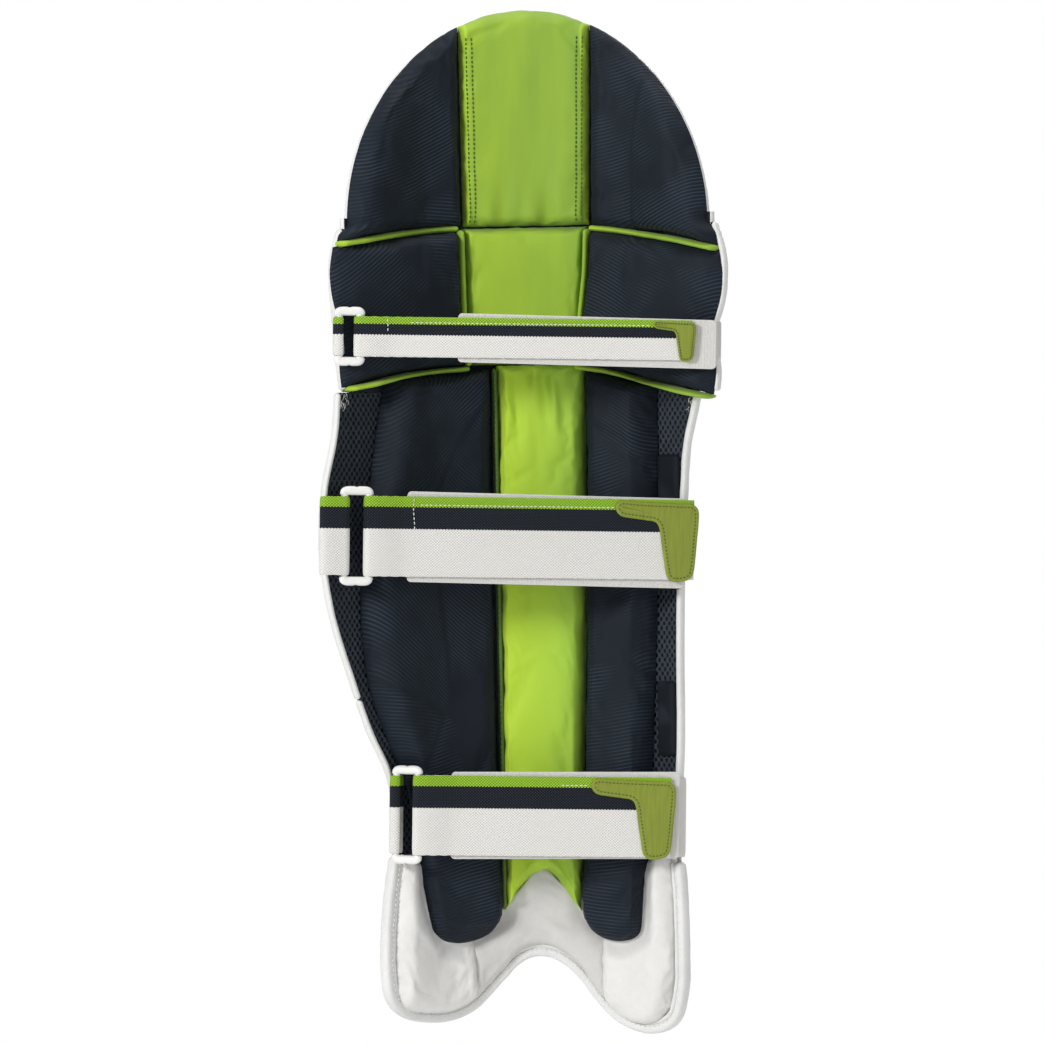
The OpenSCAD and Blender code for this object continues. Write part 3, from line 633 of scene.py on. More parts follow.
def spacerMesh(name, thread, holeShade):
    # knitted threads over holes painted near black, the shade inside them, with painted highlights where they twist:
    # the piece's own "open" value says where its holes are
    n = Nodes(name)
    lay, s, z = n.layCoordinates()
    openness = n.add("ShaderNodeAttribute", attribute_name="open").outputs["Fac"]
    grain = n.noise(lay, 1.9, 4.0, 0.7)
    twist = n.sine(n.times(n.plus(s, n.times(z, 1.7)), 7.5))
    highlightPatches = n.range(n.noise(lay, 0.12, 3.0), 0.45, 0.75)
    # painted highlight along the twisted threads, stronger in patches
    shine = n.times(n.range(twist, 0.3, 1.0), n.plus(0.25, n.times(highlightPatches, 0.5)))
    lit = n.mix(shine, thread, (0.10, 0.125, 0.155))
    # the holes take the near-black painted shade
    colour = n.mix(n.range(openness, 0.35, 0.8), lit, holeShade)
    n.bump(n.plus(n.times(twist, 0.5), grain), 0.00018, 0.7)
    return n.finish(colour, 0.72, Specular_IOR_Level=0.25)


def stripedWebbing(name, bands, bright=(0.78, 0.765, 0.73)):
    # woven webbing: bands across its width, with the diagonal crossing of a tight twill
    n = Nodes(name)
    lay, s, z = n.layCoordinates()      # s runs along the strap, z goes from 0 at its lower edge to 1
    width = bands["width"]
    up = n.times(z, width)
    cross = n.times(n.sine(n.times(s, math.pi / 1.05)), n.sine(n.times(up, math.pi / 0.95)))
    grain = n.noise(lay, 1.1, 3.0, 0.7)
    knot = n.range(cross, -0.7, 0.5)
    white = n.mix(knot, tuple(c * 0.76 for c in bright), bright)
    colour = white
    if "navy" in bands:
        navy = n.mix(n.range(cross, 0.45, 0.9), (0.0035, 0.0055, 0.0095), (0.042, 0.055, 0.075))
        lime = n.mix(n.range(cross, -0.3, 0.7), (0.10, 0.28, 0.02), (0.43, 0.60, 0.03))
        level = n.plus(z, n.times(cross, 0.4 / width))
        colour = n.mix(n.math("GREATER_THAN", level, 1 - bands["navy"]), white, navy)
        colour = n.mix(n.math("GREATER_THAN", level, 1 - bands["lime"]), colour, lime)
    n.bump(n.plus(knot, n.times(grain, 0.3)), 0.0004, 0.9)
    return n.finish(colour, 0.66, Sheen_Weight=0.03, Specular_IOR_Level=0.16)


def brushedPile(name, light, shade):
    # short matted fibres over a faint rib
    n = Nodes(name)
    lay, s, _ = n.layCoordinates()
    fluff = n.noise(lay, 1.6, 5.0, 0.75, 1.2)
    rib = n.sine(n.times(s, 3.1))
    n.bump(n.plus(fluff, n.times(rib, 0.12)), 0.0006, 0.9)
    return n.finish(n.ramp(fluff, [(0.3, shade), (0.65, light)]), 0.85, Sheen_Weight=0.25, Specular_IOR_Level=0.15)


def mouldedPlastic(name, light):
    # glossy plastic with a slightly wavy, scuffed skin
    n = Nodes(name)
    source = n.placeCoordinates()
    waviness = n.noise(source, 420.0, 2.0)
    scuff = n.noise(source, 2600.0, 4.0, 0.7)
    n.bump(n.plus(waviness, n.times(scuff, 0.2)), 0.00012, 0.4)
    colour = n.ramp(waviness, [(0.2, tuple(c * 0.93 for c in light)), (0.8, light)])
    return n.finish(colour, n.range(scuff, 0.3, 0.7, 0.2, 0.34), Specular_IOR_Level=0.5)


def tabLeather(name, light, shade):
    # brushed olive leather with a painted sheen: lighter streaks running down its colour
    n = Nodes(name)
    lay, s, z = n.layCoordinates()
    brushAndSheen = n.noise(n.vector(n.times(s, 0.5), n.times(z, 0.04)), 1.0, 3.0)
    grain = n.noise(lay, 1.8, 4.0, 0.7)
    tone = n.plus(n.times(brushAndSheen, 0.7), n.times(grain, 0.4))
    n.bump(n.plus(grain, n.times(brushAndSheen, 0.3)), 0.0002, 0.5)
    # colour lighter along the brushed streaks: painted sheen
    colour = n.ramp(tone, [(0.35, shade), (0.75, light)])
    return n.finish(colour, n.range(grain, 0.3, 0.7, 0.42, 0.6), Specular_IOR_Level=0.4)


def twistedThread(name, colour, fibreShade=0.8):
    # thread, its colour darker between its fibres: painted shade
    n = Nodes(name)
    source = n.placeCoordinates()
    fibre = n.noise(source, 3200.0, 3.0, 0.6)
    n.bump(fibre, 0.0001, 0.5)
    shades = n.ramp(fibre, [(0.3, tuple(c * fibreShade for c in colour)), (0.7, colour)])
    return n.finish(shades, 0.55, Specular_IOR_Level=0.3)


def splitCane(name):
    # cane with its grain running up the pad
    n = Nodes(name)
    source = n.placeCoordinates()
    stretch = n.add("ShaderNodeMapping")
    n.put(stretch.inputs["Vector"], source)
    stretch.inputs["Scale"].default_value = (900, 900, 30)
    fibre = n.noise(stretch.outputs[0], 1.0, 4.0, 0.6)
    n.bump(fibre, 0.0003, 0.5)
    return n.finish(n.ramp(fibre, [(0.3, (0.42, 0.27, 0.11)), (0.7, (0.68, 0.5, 0.26))]), 0.5, Specular_IOR_Level=0.35)


navyCloth = embossedCloth("navyCloth", (0.0052, 0.0082, 0.0135), (0.023, 0.034, 0.051))
plainNavy = embossedCloth("plainNavy", (0.004, 0.006, 0.009), (0.012, 0.017, 0.024), pitch=40.0)
# each lime runs from bright to deep between its left and right bounds: painted shade from the left-hand light
limeShin = limeCloth("limeShin", (0.42, 0.61, 0.03), (0.25, 0.44, 0.045), -24, 44, 0.12)
limeKnee = limeCloth("limeKnee", (0.33, 0.49, 0.028), (0.20, 0.34, 0.03), -60, 60, 0.4)
limeFlap = limeCloth("limeFlap", (0.28, 0.43, 0.03), (0.17, 0.30, 0.032), -70, 80, 0.5, band=41.2)
limePiping = limeCloth("limePiping", (0.36, 0.53, 0.024), (0.23, 0.39, 0.03), -40, 60, 0.4)
limeWelt = limeCloth("limeWelt", (0.12, 0.20, 0.022), (0.07, 0.135, 0.02), -40, 60, 0.4)
whiteFacing = coatedLeather("whiteFacing", (0.78, 0.78, 0.765), (0.64, 0.64, 0.63), 0.9, 0.00012)
whiteEdge = coatedLeather("whiteEdge", (0.78, 0.78, 0.765), (0.60, 0.60, 0.585), 0.9, 0.00014, (0.38, 0.55))
# the tongue's leather is the facing's white painted greyer: painted shade
shadedTongueWhite = coatedLeather("shadedTongueWhite", (0.62, 0.61, 0.585), (0.50, 0.49, 0.475), 1.1, 0.00008, (0.42, 0.58))
whiteSoft = coatedLeather("whiteSoft", (0.75, 0.745, 0.725), (0.62, 0.615, 0.60), 1.1, 0.00008, (0.42, 0.58))
# thread colour, then the holes' near-black painted shade
meshCloth = spacerMesh("meshCloth", (0.024, 0.033, 0.047), (0.001, 0.0013, 0.0018))
bandsWide = {"width": 54.0, "lime": 0.132, "navy": 0.405}
bandsNarrow = {"width": 27.0, "lime": 0.185, "navy": 0.45}
webbingWide = stripedWebbing("webbingWide", bandsWide)
webbingNarrow = stripedWebbing("webbingNarrow", bandsNarrow)
webbingPlain = stripedWebbing("webbingPlain", {"width": 54.0}, (0.74, 0.73, 0.70))
pile = brushedPile("loopPile", (0.74, 0.73, 0.70), (0.5, 0.49, 0.46))
hooks = brushedPile("hookTape", (0.55, 0.54, 0.51), (0.33, 0.32, 0.30))
ringPlastic = mouldedPlastic("ringPlastic", (0.76, 0.755, 0.735))
oliveLeather = tabLeather("oliveLeather", (0.225, 0.275, 0.022), (0.16, 0.19, 0.017))
whiteThread = twistedThread("whiteThread", (0.78, 0.77, 0.73))
greenThread = twistedThread("greenThread", (0.05, 0.12, 0.02))
limeThread = twistedThread("limeThread", (0.16, 0.30, 0.03))
greyThread = twistedThread("greyThread", (0.50, 0.50, 0.49))
cane = splitCane("splitCane")
print("materials ready")


# thigh flap
thigh = {"inner": 45.6, "thick": 15.0, "inset": 0.4, "low": 551.4}
acrossCrease = ("pad", "thigh_flap", (0, 0.03, 0.5475), (0, 0.03, 0.5555))      # the padding bends here; pieces given this are only baked in place


def thighSides(side):
    # the pad's foot follows the cup's piping, so it carries on across the crease
    drop = 0.0 if side < 0 else 6.4
    inner = thigh["inner"] - (1.2 if side > 0 else 0)
    topDeg = math.degrees(math.acos(thigh["inner"] / (flap["half"] - thigh["inset"])))
    arc = flapArc(1.0, topDeg, thigh["inset"], 25)
    foot = [(inner, thigh["low"]), (62, 550.0 - drop * 0.2), (92, 547.9 - drop * 0.5), (112, 544.2 - drop * 0.75),
            (129.0, 540.0 - drop)]
    outer = np.concatenate([[foot[-1], (127.4, 546.0 - drop * 0.5)], arc[:13]])
    low, high = np.array(foot), arc[:11:-1]
    near = np.array([foot[0], (thigh["inner"], high[0][1])])
    if side > 0:
        return {"bottom": low, "right": outer, "top": high, "left": near}
    m = np.array([-1, 1])
    return {"bottom": low[::-1] * m, "right": near * m, "top": high[::-1] * m, "left": outer * m}


def creaseFolds(s, z, eb, et):
    # shallow gathers that rise from the lower seam
    waves = 2.0 * np.sin(s / 4.6 + 1.0 + eb / 26) + 1.1 * np.sin(s / 2.6 - eb / 20)
    return np.exp(-eb / 19) * waves * (1 - np.exp(-eb / 2))


navy = {"material": navyCloth, "slot": "navy_fabric", "fill": 0.8}
for side, name, node in ((-1, "topLeftPad", "top_left_pad"), (1, "topRightPad", "top_right_pad")):
    paddedPiece(name, node, body=acrossCrease, **navy, **thighSides(side), cols=44, rows=52, thick=thigh["thick"],
                round=(11, 11, 8, 12), flat=0.1, seed=20 + side, pucker=0.45, cap=1.6)

stripTop = [(x, float(flapTop(x, 0.5))) for x in (-45.0, -25.0, 0.0, 25.0, 45.4)]
stripLow = [(-44.2, 552.2), (42.6, 552.2)]
paddedPiece("topCentreStrip", "top_centre_strip", body="thigh_flap", material=limeFlap, slot="lime_fabric", fill=0.6,
            bottom=stripLow, right=[stripLow[1], stripTop[-1]], top=stripTop, left=[stripLow[0], stripTop[0]],
            cols=44, rows=60, thick=11.5, round=(4, 4, 7, 8), seed=31, flat=0.04, fold=creaseFolds, cap=1.2)

# knee
cup = {"thick": 24.0, "rim": 9.0, "thinsFrom": 92, "thinsOver": 66}


def cupDepth(s, z):
    # full at the inner edge, thinning round the side of the knee
    outwards = np.clip((np.abs(s) - cup["thinsFrom"]) / cup["thinsOver"], 0, 1)
    return cup["thick"] - (cup["thick"] - cup["rim"]) * outwards


# the cups' edges; the left one is drawn in beside the ring
leftCup = {"top": [(-131.6, 537.4), (-112, 541.6), (-92, 545.5), (-70, 548.3), (-50.2, 549.4)],
           "bottom": [(-127.6, 442.6), (-112, 446.6), (-92, 452.0), (-68, 455.0), (-45.2, 456.2)],
           "right": [(-45.2, 456.2), (-48.8, 475), (-49.6, 500), (-50.0, 525), (-50.2, 549.4)]}
rightCup = {"top": [(45.0, 548.2), (66, 545.6), (90, 541.2), (112, 535.8), (129.6, 530.0)],
            "bottom": [(33.5, 456.2), (55, 452.8), (82, 446.2), (104, 439.4), (124.2, 433.4)],
            "left": [(33.5, 456.2), (36.4, 470), (39.6, 490), (43.4, 520), (45.0, 548.2)]}
ringRoom = ((455, -0.4), (468, 1.0), (480, 1.0), (492, 0.8), (506, -1.0), (522, -1.4))
leftCup["left"] = [leftCup["bottom"][0], *((-float(kneeHalf(z)) + gap, z) for z, gap in ringRoom), leftCup["top"][0]]
rightCup["right"] = [rightCup["bottom"][-1], *((float(kneeRight(z)) - 0.7, z) for z in (450, 462, 475, 487, 500, 515)),
                     rightCup["top"][-1]]
cupShape = {"cols": 46, "rows": 44, "thick": cupDepth, "flat": 0.06, "pucker": 0.6, "cap": 1.8}
paddedPiece("leftKneeCup", "left_knee_cup", **navy, **leftCup, **cupShape, round=(13, 6, 9, 9), seed=41)
paddedPiece("rightKneeCup", "right_knee_cup", **navy, **rightCup, **cupShape, round=(6, 13, 9, 9), seed=47)
paddedPiece("centreKneeCushion", "centre_knee_cushion", material=limeKnee, slot="lime_fabric", fill=0.7,
            bottom=[(-43.4, 457.6), (31.6, 457.6)], top=[(-45.4, 551.0), (41.8, 551.0)],
            left=[(-43.4, 457.6), (-45.4, 551.0)], right=[(31.6, 457.6), (37.8, 500), (41.8, 551.0)],
            cols=36, rows=40, thick=15.0, round=(4, 4, 9, 6), seed=53, flat=0.05, cap=1.2)


# shin bolsters; their lower ends ride up on the instep's padding
def bolsterBase(rise):
    return lambda s, z: 0.4 + rise * ease((122 - z) / 26)


def centreGathers(s, z, eb, et):
    # gathers hang from the knee seam and tuck in at the arch below
    top = 3.6 * np.sin(s / 3.0 + 0.4 + et / 30) + 2.0 * np.sin(s / 1.9 - et / 18)
    low = 2.6 * np.sin((s + 0.5 * z) / 3.2)
    return (np.exp(-et / 24) * top * (1 - np.exp(-et / 2.5))
            + np.exp(-eb / 16) * low * (1 - np.exp(-eb / 3)))


bolster = {"flat": 0.1, "pucker": 0.5, "cap": 1.8, "base": bolsterBase(6.0)}
navy["fill"] = 0.85
cupGap = 2.6
leftTop = [(-99.4, float(np.interp(-99.4, *np.transpose(leftCup["bottom"]))) - cupGap),
           (-70, 452.6), (-50, 453.6), (-28.0, 455.6)]
paddedPiece("leftBolster", "left_bolster", **navy, **bolster, cols=44, rows=128, thick=21.5, round=(15, 10, 15, 10),
            seed=61, top=leftTop,
            bottom=[(-79.5, 82), (-76.5, 71.5), (-68, 65.4), (-55, 64), (-42, 67.2), (-33, 72.6), (-27.0, 82)],
            left=[(-79.5, 82), (-82.3, 100), (-84.6, 125), (-87.2, 155), (-91.5, 180), (-100.5, 200), (-114, 245),
                  (-117.4, 300), (-109.6, 382), (-101, 440), leftTop[0]],
            right=[(-27.0, 82), (-26.6, 110), (-27.4, 200), (-27.8, 330), (-28.0, 455.6)])
paddedPiece("rightBolster", "right_bolster", **navy, **bolster, cols=34, rows=128, thick=21.0, round=(10, 12, 13, 10),
            seed=67, top=[(39.4, 453.4), (55, 450.2), (72, 446.4), (86.6, 442.4)],
            bottom=[(30.6, 82), (36, 72), (43, 66.4), (51, 63.6), (60, 63.4), (67.5, 65.4), (71.5, 69), (73.2, 82)],
            left=[(30.6, 82), (31.2, 125), (33.8, 195), (36.9, 297), (38.6, 400), (39.4, 453.4)],
            right=[(73.2, 82), (76, 125), (79.4, 195), (81.8, 241), (84.2, 296), (86.4, 365), (86.6, 442.4)])
paddedPiece("centreBolster", "centre_bolster", material=limeShin, slot="lime_fabric", fill=0.75, cols=44, rows=132,
            thick=17.4, base=bolsterBase(2.0), round=(4, 8, 9, 9), seed=71, flat=0.06, pucker=0.5,
            fold=centreGathers, cap=1.5, top=[(-23.2, 457), (0, 457), (38.6, 457)],
            bottom=[(-25.0, 84), (-18.5, 94), (-10, 105.5), (-2, 110.8), (4, 111.4), (12, 108), (20, 97.5),
                    (29.2, 82.5)],
            left=[(-25.0, 84), (-23.6, 110), (-23.6, 200), (-23.4, 330), (-23.2, 457)],
            right=[(29.2, 82.5), (30.4, 125), (33.0, 195), (36.2, 297), (37.8, 400), (38.6, 457)])

# instep padding
instep = {"thick": 13.0, "under": 5.6, "tongue": 8.0, "tongueUnder": 4.6}
leftFoot = [(-84.6, 140), (-82.3, 100), (-79.5, 82), (-68, 65.4), (-55, 64), (-42, 67.2), (-27, 82), (-26, 140)]
rightFoot = [(30, 140), (30.6, 82), (43, 66.4), (60, 63.4), (71.5, 69), (73.2, 82), (77.5, 140)]


def outlineGap(x, z, outline):
    # how far a point is outside a bolster's foot, 0 inside it
    p = np.asarray(outline, float)
    best = np.full(x.shape, 1e9)
    inside = np.zeros(x.shape, bool)
    for (x0, z0), (x1, z1) in zip(p, np.roll(p, -1, 0)):
        t = np.clip(((x - x0) * (x1 - x0) + (z - z0) * (z1 - z0)) / ((x1 - x0)**2 + (z1 - z0)**2 + 1e-9), 0, 1)
        best = np.minimum(best, np.hypot(x - x0 - t * (x1 - x0), z - z0 - t * (z1 - z0)))
        inside ^= ((z0 > z) != (z1 > z)) & (x < (x1 - x0) * (z - z0) / (z1 - z0 + 1e-9) + x0)
    return np.where(inside, 0, best)


def underBolster(thick, under, fade, *feet):
    # full thickness in the open, flattened to what fits beneath the bolsters that rest on it
    def depth(s, z):
        x, _ = planPoint(s, 0)
        gap = np.min([outlineGap(x, z, foot) for foot in feet], axis=0)
        return under + (thick - under) * ease(gap / fade)
    return depth


soft = {"material": whiteSoft, "slot": "white_padding", "fill": 0.8, "cols": 44, "rows": 50, "flat": 0.05,
        "pucker": 0.3, "swell": 0.35, "cap": 1.2}
paddedPiece("instepLeftCushion", "instep_left_cushion", **soft, round=(12, 9, 12, 6), seed=81,
            thick=underBolster(instep["thick"], instep["under"], 15, leftFoot),
            bottom=[(-99.6, 32), (-94.8, 21.6), (-85, 17.2), (-71, 16.2), (-57, 19.4), (-42.5, 28)],
            right=[(-42.5, 28), (-44.2, 45), (-46.7, 88)], top=[(-94.0, 126), (-80, 118), (-46.7, 88)],
            left=[(-99.6, 32), (-99.8, 60), (-98.0, 95), (-94.0, 126)])
paddedPiece("instepRightCushion", "instep_right_cushion", **soft, round=(9, 12, 12, 6), seed=83,
            thick=underBolster(instep["thick"], instep["under"], 15, rightFoot),
            bottom=[(42.8, 24.0), (52, 14.0), (62, 8.0), (72, 6.4), (81, 9.4), (88.8, 19)],
            right=[(88.8, 19), (91.4, 45), (91.6, 90), (89.8, 126)], top=[(42.8, 86), (76, 118), (89.8, 126)],
            left=[(42.8, 24.0), (42.4, 50), (42.8, 86)])
archRim = [(x, float(smoothAt(instepLow, x)) + 7.0) for x in (-50.5, -38, -27, -13, 0, 12, 26, 38, 49.0)]
# the tongue takes the greyer white: painted shade
paddedPiece("instepTongue", "instep_tongue", material=shadedTongueWhite, slot="white_padding", fill=0.5, cols=56, rows=40,
            thick=underBolster(instep["tongue"], instep["tongueUnder"], 13, leftFoot, rightFoot),
            round=(12, 12, 7, 6), seed=87, flat=0.04, pucker=0.35, swell=0.6, cap=1.2,
            bottom=archRim, right=[archRim[-1], (48.5, 50), (47.0, 84)],
            top=[(-51.0, 88), (-20, 98), (0, 116), (18, 104), (47.0, 84)], left=[archRim[0], (-51.0, 50), (-51.0, 88)])
print("padding laid out")
clothSettings = {"quality": 4, "mass": 0.3, "tension_stiffness": 25.0, "compression_stiffness": 25.0,
                 "shear_stiffness": 10.0, "bending_stiffness": 0.6, "shrink_min": -0.015, "use_pressure": True,
                 "uniform_pressure_force": 4.0, "vertex_group_mass": "sewn", "pin_stiffness": 1.0}
puffOut(softPieces, clothSettings, 16)
bpy.context.view_layer.update()
padding = {e["piece"].name: e["piece"] for e in softPieces}
print("padding puffed")

# piping along the cups' edges: path, depth, half width and half depth, squareness, lumps and seed
dip = np.interp(np.linspace(0, 1, 90), [0, 0.14, 1], [-4.5, 0, 0])        # the outer ends sink round the side
cupPiping = {
    "leftCupPiping": ([(-129.6, 539.2), (-112, 542.9), (-92, 546.8), (-70, 549.5), (-49.5, 550.6)],
                      7.2 + dip, 2.1, 6.4, 2.0, 0.06, 3),
    "rightCupPiping": ([(44.2, 549.6), (66, 547.0), (90, 542.6), (112, 537.3), (129.2, 531.7)],
                       7.2 + dip[::-1], 2.1, 6.4, 2.0, 0.06, 4),
    "leftCupInnerPiping": ([(-44.4, 456.5), (-47.2, 475), (-47.9, 500), (-48.3, 525), (-48.6, 549.6)],
                           9.0, 2.5, 8.6, 2.6, 0.05, 5),
    "rightCupInnerPiping": ([(32.8, 456.6), (35.2, 470), (38.1, 490), (41.7, 520), (43.2, 549.0)],
                            9.0, 2.4, 8.6, 2.6, 0.05, 6),
    "leftCupLowPiping": ([(-125.5, 441.6), (-112, 445.2), (-92, 450.6), (-68, 453.6), (-44.0, 455.0)],
                         9.0 + dip * 1.4, 1.9, 8.4, 2.0, 0.06, 7),
    "rightCupLowPiping": ([(32.5, 455.0), (55, 451.6), (82, 445.0), (104, 438.0), (123.0, 432.0)],
                          9.0 + dip[::-1] * 1.4, 1.9, 8.4, 2.0, 0.06, 8),
}
for name, (path, depth, across, through, power, lumps, seed) in cupPiping.items():
    piping = surfaceTube(name, curveThrough(path, 90), depth, across, through, limePiping, power=power, lumps=lumps,
                         seed=seed)
    fit(piping, "piping", "pad", *(["knee_cup_piping"] if name == "leftCupPiping" else []))
welt = surfaceTube("centreBolsterWelt", curveThrough([(-25.4, 86), (-25.0, 200), (-25.2, 330), (-25.4, 455)], 120),
                   6.5, 1.7, 6.4, limeWelt, power=2.8, lumps=0.04, seed=9)
fit(welt, "lime_fabric", "pad")


def sidePanel(name, x0, x1, z0, z1, depth, *nodes):
    # a flat panel with eased corners, laid over the liner
    corner = 2.5
    u, v = np.meshgrid(cosineSteps(16), cosineSteps(50))
    x, z = x0 + (x1 - x0) * u, z0 + (z1 - z0) * v
    eased = corner * (1 - roundOver(np.minimum(z - z0, z1 - z), corner))
    x = x + np.where(u < 0.5, 1, -1) * eased * np.abs(2 * u - 1)
    s = alongAt(x)
    e = np.minimum(np.minimum(s - s[:, :1], s[:, -1:] - s), np.minimum(z - z0, z1 - z))
    near = 0.5 + depth * roundOver(e, 3.5) + 0.25 * ripple(s, z, 24, 5)
    piece = addPiece(name, *closedSlab(s, z, near, near * 0 + 0.25), plainNavy)
    fit(piece, "navy_fabric", "pad", *nodes, fill=0.2)


sidePanel("upperSidePanel", 86.6, 100.5, 302, 394, 2.6)
sidePanel("lowerSidePanel", 83.6, 95.2, 189, 240, 2.8, "side_panel")


# liner: knitted mesh with real hollows where it shows
meshHoles = {"across": 5.0, "up": 6.2, "wide": 1.25, "tall": 1.9, "deep": 1.3}


def holeField(s, z):
    # 1 in the middle of each oval hole, 0 on the threads; rows stand staggered by half a pitch
    row = np.round(z / (meshHoles["up"] / 2))
    cs = s / meshHoles["across"] + 0.5 * (row % 2)
    ds = (cs - np.round(cs)) * meshHoles["across"]
    dz = z - row * meshHoles["up"] / 2
    r = np.hypot(ds / meshHoles["wide"], dz / meshHoles["tall"])
    return ease(1.45 - r * 0.95)


def sheetGrid(left, right, z, cols):
    # rows across the pad between two edges, each a function of height that gives an arc distance
    u = np.linspace(0, 1, cols)
    s = left(z)[:, None] * (1 - u) + right(z)[:, None] * u
    return s, np.broadcast_to(z[:, None], s.shape).copy()


def linerStrip(name, left, right, z0, z1, step, body, *nodes, holes=True):
    z = np.linspace(z0, z1, int((z1 - z0) / step) + 2)
    s, z = sheetGrid(left, right, z, int(np.max(right(z) - left(z)) / step) + 3)
    jitter = 0.25 * ripple(s, z, 19, 3)
    hollow = holeField(s + jitter, z + 0.5 * jitter) if holes else s * 0
    near = 0.3 * ripple(s, z, 30, 8) - meshHoles["deep"] * hollow
    piece = addPiece(name, *closedSlab(s, z, near, near * 0 + layers["back"]), meshCloth)
    value = piece.data.attributes.new("open", "FLOAT", "POINT")
    value.data.foreach_set("value", np.concatenate([hollow.ravel(), hollow.ravel() * 0]).astype(np.float32))
    fit(piece, "mesh", body, *nodes)


hingeS = float(alongAt(np.array(-wing["hinge"])))
wingBend = ("side_wing", "pad", (-(wing["hinge"] + 7) * mm, 0.0, 0.335), (-(wing["hinge"] - 1) * mm, 0.0, 0.335))


def shinLeft(inset, gap):
    # the shin's left edge, which stops at the wing's hinge
    return lambda z: np.maximum(alongAt(leftAt(z)) + inset, hingeS + gap)


def shinRight(inset):
    return lambda z: alongAt(rightAt(z)) - inset


def wingLeft(inset, gap):
    return lambda z: np.minimum(alongAt(leftAt(z)) + inset, hingeS - gap)


def level(s):
    return lambda z: z * 0 + s


linerEnds = (125.6, 439.6)
linerStrip("linerMiddle", level(-62.0), level(74.0), *linerEnds, 9.0, "pad", "shin_liner", holes=False)
linerStrip("linerLeft", shinLeft(layers["liner"], 0.2), level(-62.2), *linerEnds, 1.05, "pad")
linerStrip("linerRight", level(74.2), shinRight(layers["liner"]), *linerEnds, 0.95, "pad")
linerStrip("wingLiner", wingLeft(layers["liner"], 0.4), level(hingeS + 0.1), wing["low"], wing["top"], 0.95,
           wingBend, "wing_liner")
print("liner made")


# facing: one shell for each section, thin at its edges
facingEdge = {"thin": 0.16, "reach": 26}


def thinToEdge(e):
    return facingEdge["thin"] + (1 - facingEdge["thin"]) * ease(e / facingEdge["reach"])


def shell(name, s, z, gap, body, *nodes, seed=11):
    # the white outer skin and the foam behind it; gap is the distance from the free edge
    share = thinToEdge(gap)
    out = layers["face"] * share + 0.35 * ripple(s, z, 45, seed) * share
    piece = addPiece(name, *closedSlab(s, z, np.maximum(-2.6, out + 0.6), out), whiteFacing)
    return fit(piece, "facing", body, *nodes)


def lining(name, s, z, near, material, slot, body):
    # the cloth on the leg side, behind the padding
    piece = addPiece(name, *closedSlab(s, z, s * 0 + near, s * 0 + layers["back"]), material)
    return fit(piece, slot, body)


s, z = sheetGrid(shinLeft(1.0, 0.15), shinRight(1.0), np.linspace(shin["low"], shin["top"], 110), 90)
gap = np.minimum(s - alongAt(leftAt(z)), alongAt(rightAt(z)) - s)
shinShell = shell("shinFacing", s, z, gap, "pad", "shin_face", "shin_foam")
s, z = sheetGrid(wingLeft(1.0, 0.6), level(hingeS + 0.1), np.linspace(wing["low"], wing["top"], 80), 24)
shell("wingFacing", s, z, s - alongAt(leftAt(z)), wingBend, "wing_face", "wing_foam")


def kneeGrid(inset, cols):
    return sheetGrid(lambda z: inset - alongAt(kneeHalf(z)), lambda z: alongAt(kneeRight(z)) - inset,
                     np.linspace(knee["low"], knee["top"], 50), cols)


s, z = kneeGrid(1.0, 100)
gap = alongAt(np.where(s > 0, kneeRight(z), kneeHalf(z))) - np.abs(s)
shell("kneeFacing", s, z, gap, "pad", "knee_face", "knee_foam")
lining("kneeLining", *kneeGrid(2.6, 60), 0.2, plainNavy, "navy_fabric", "pad")


def instepGrid(inset):
    # columns run from the scalloped lower edge straight up to the shin
    top, bend = 125.2, 40
    u, v = np.meshgrid(np.linspace(0, 1, 110), np.linspace(0, 1, 46))
    zn = bend + (top - bend) * v
    s = alongAt(smoothAt(instepLeft, zn) + inset) * (1 - u) + alongAt(smoothAt(instepRight, zn) - inset) * u
    x, _ = planPoint(s, 0)
    low = smoothAt(instepLow, x) + inset
    return s, low + (top - low) * v


s, z = instepGrid(1.0)
x, _ = planPoint(s, 0)
gap = np.minimum(s - alongAt(smoothAt(instepLeft, z)), alongAt(smoothAt(instepRight, z)) - s)
shell("instepFacing", s, z, np.minimum(gap, z - smoothAt(instepLow, x)), "pad", "instep_face", "instep_foam", seed=13)
s, z = instepGrid(3.0)
instepLining = lining("instepLining", s, z, 0.25 + 0.2 * ripple(s, z, 28, 4), whiteSoft, "white_padding", "pad")


def flapGrid(inset):
    # rows follow ellipses that shrink to the crown
    v = np.sin(np.linspace(0, math.pi / 2 * 0.985, 70))
    z = flap["crease"] + (flap["low"] + flap["rise"] - inset - flap["crease"]) * v
    height = (z - flap["low"]) / (flap["rise"] - inset)
    half = alongAt((flap["half"] - inset) * np.sqrt(np.clip(1 - height**2, 1e-4, 1)))
    s = half[:, None] * np.linspace(-1, 1, 90)
    return s, np.broadcast_to(z[:, None], s.shape).copy()


s, z = flapGrid(2.2)
gap = alongAt(flap["half"] * np.sqrt(np.clip(1 - ((z - flap["low"]) / flap["rise"])**2, 0, 1))) - np.abs(s)
gap = 0.8 * np.minimum(gap, flap["low"] + flap["rise"] - z)
shell("topFacing", s, z, gap, "thigh_flap", "top_face", "top_foam", seed=17)
lining("topLining", *flapGrid(3.0), 0.2, plainNavy, "navy_fabric", "thigh_flap")

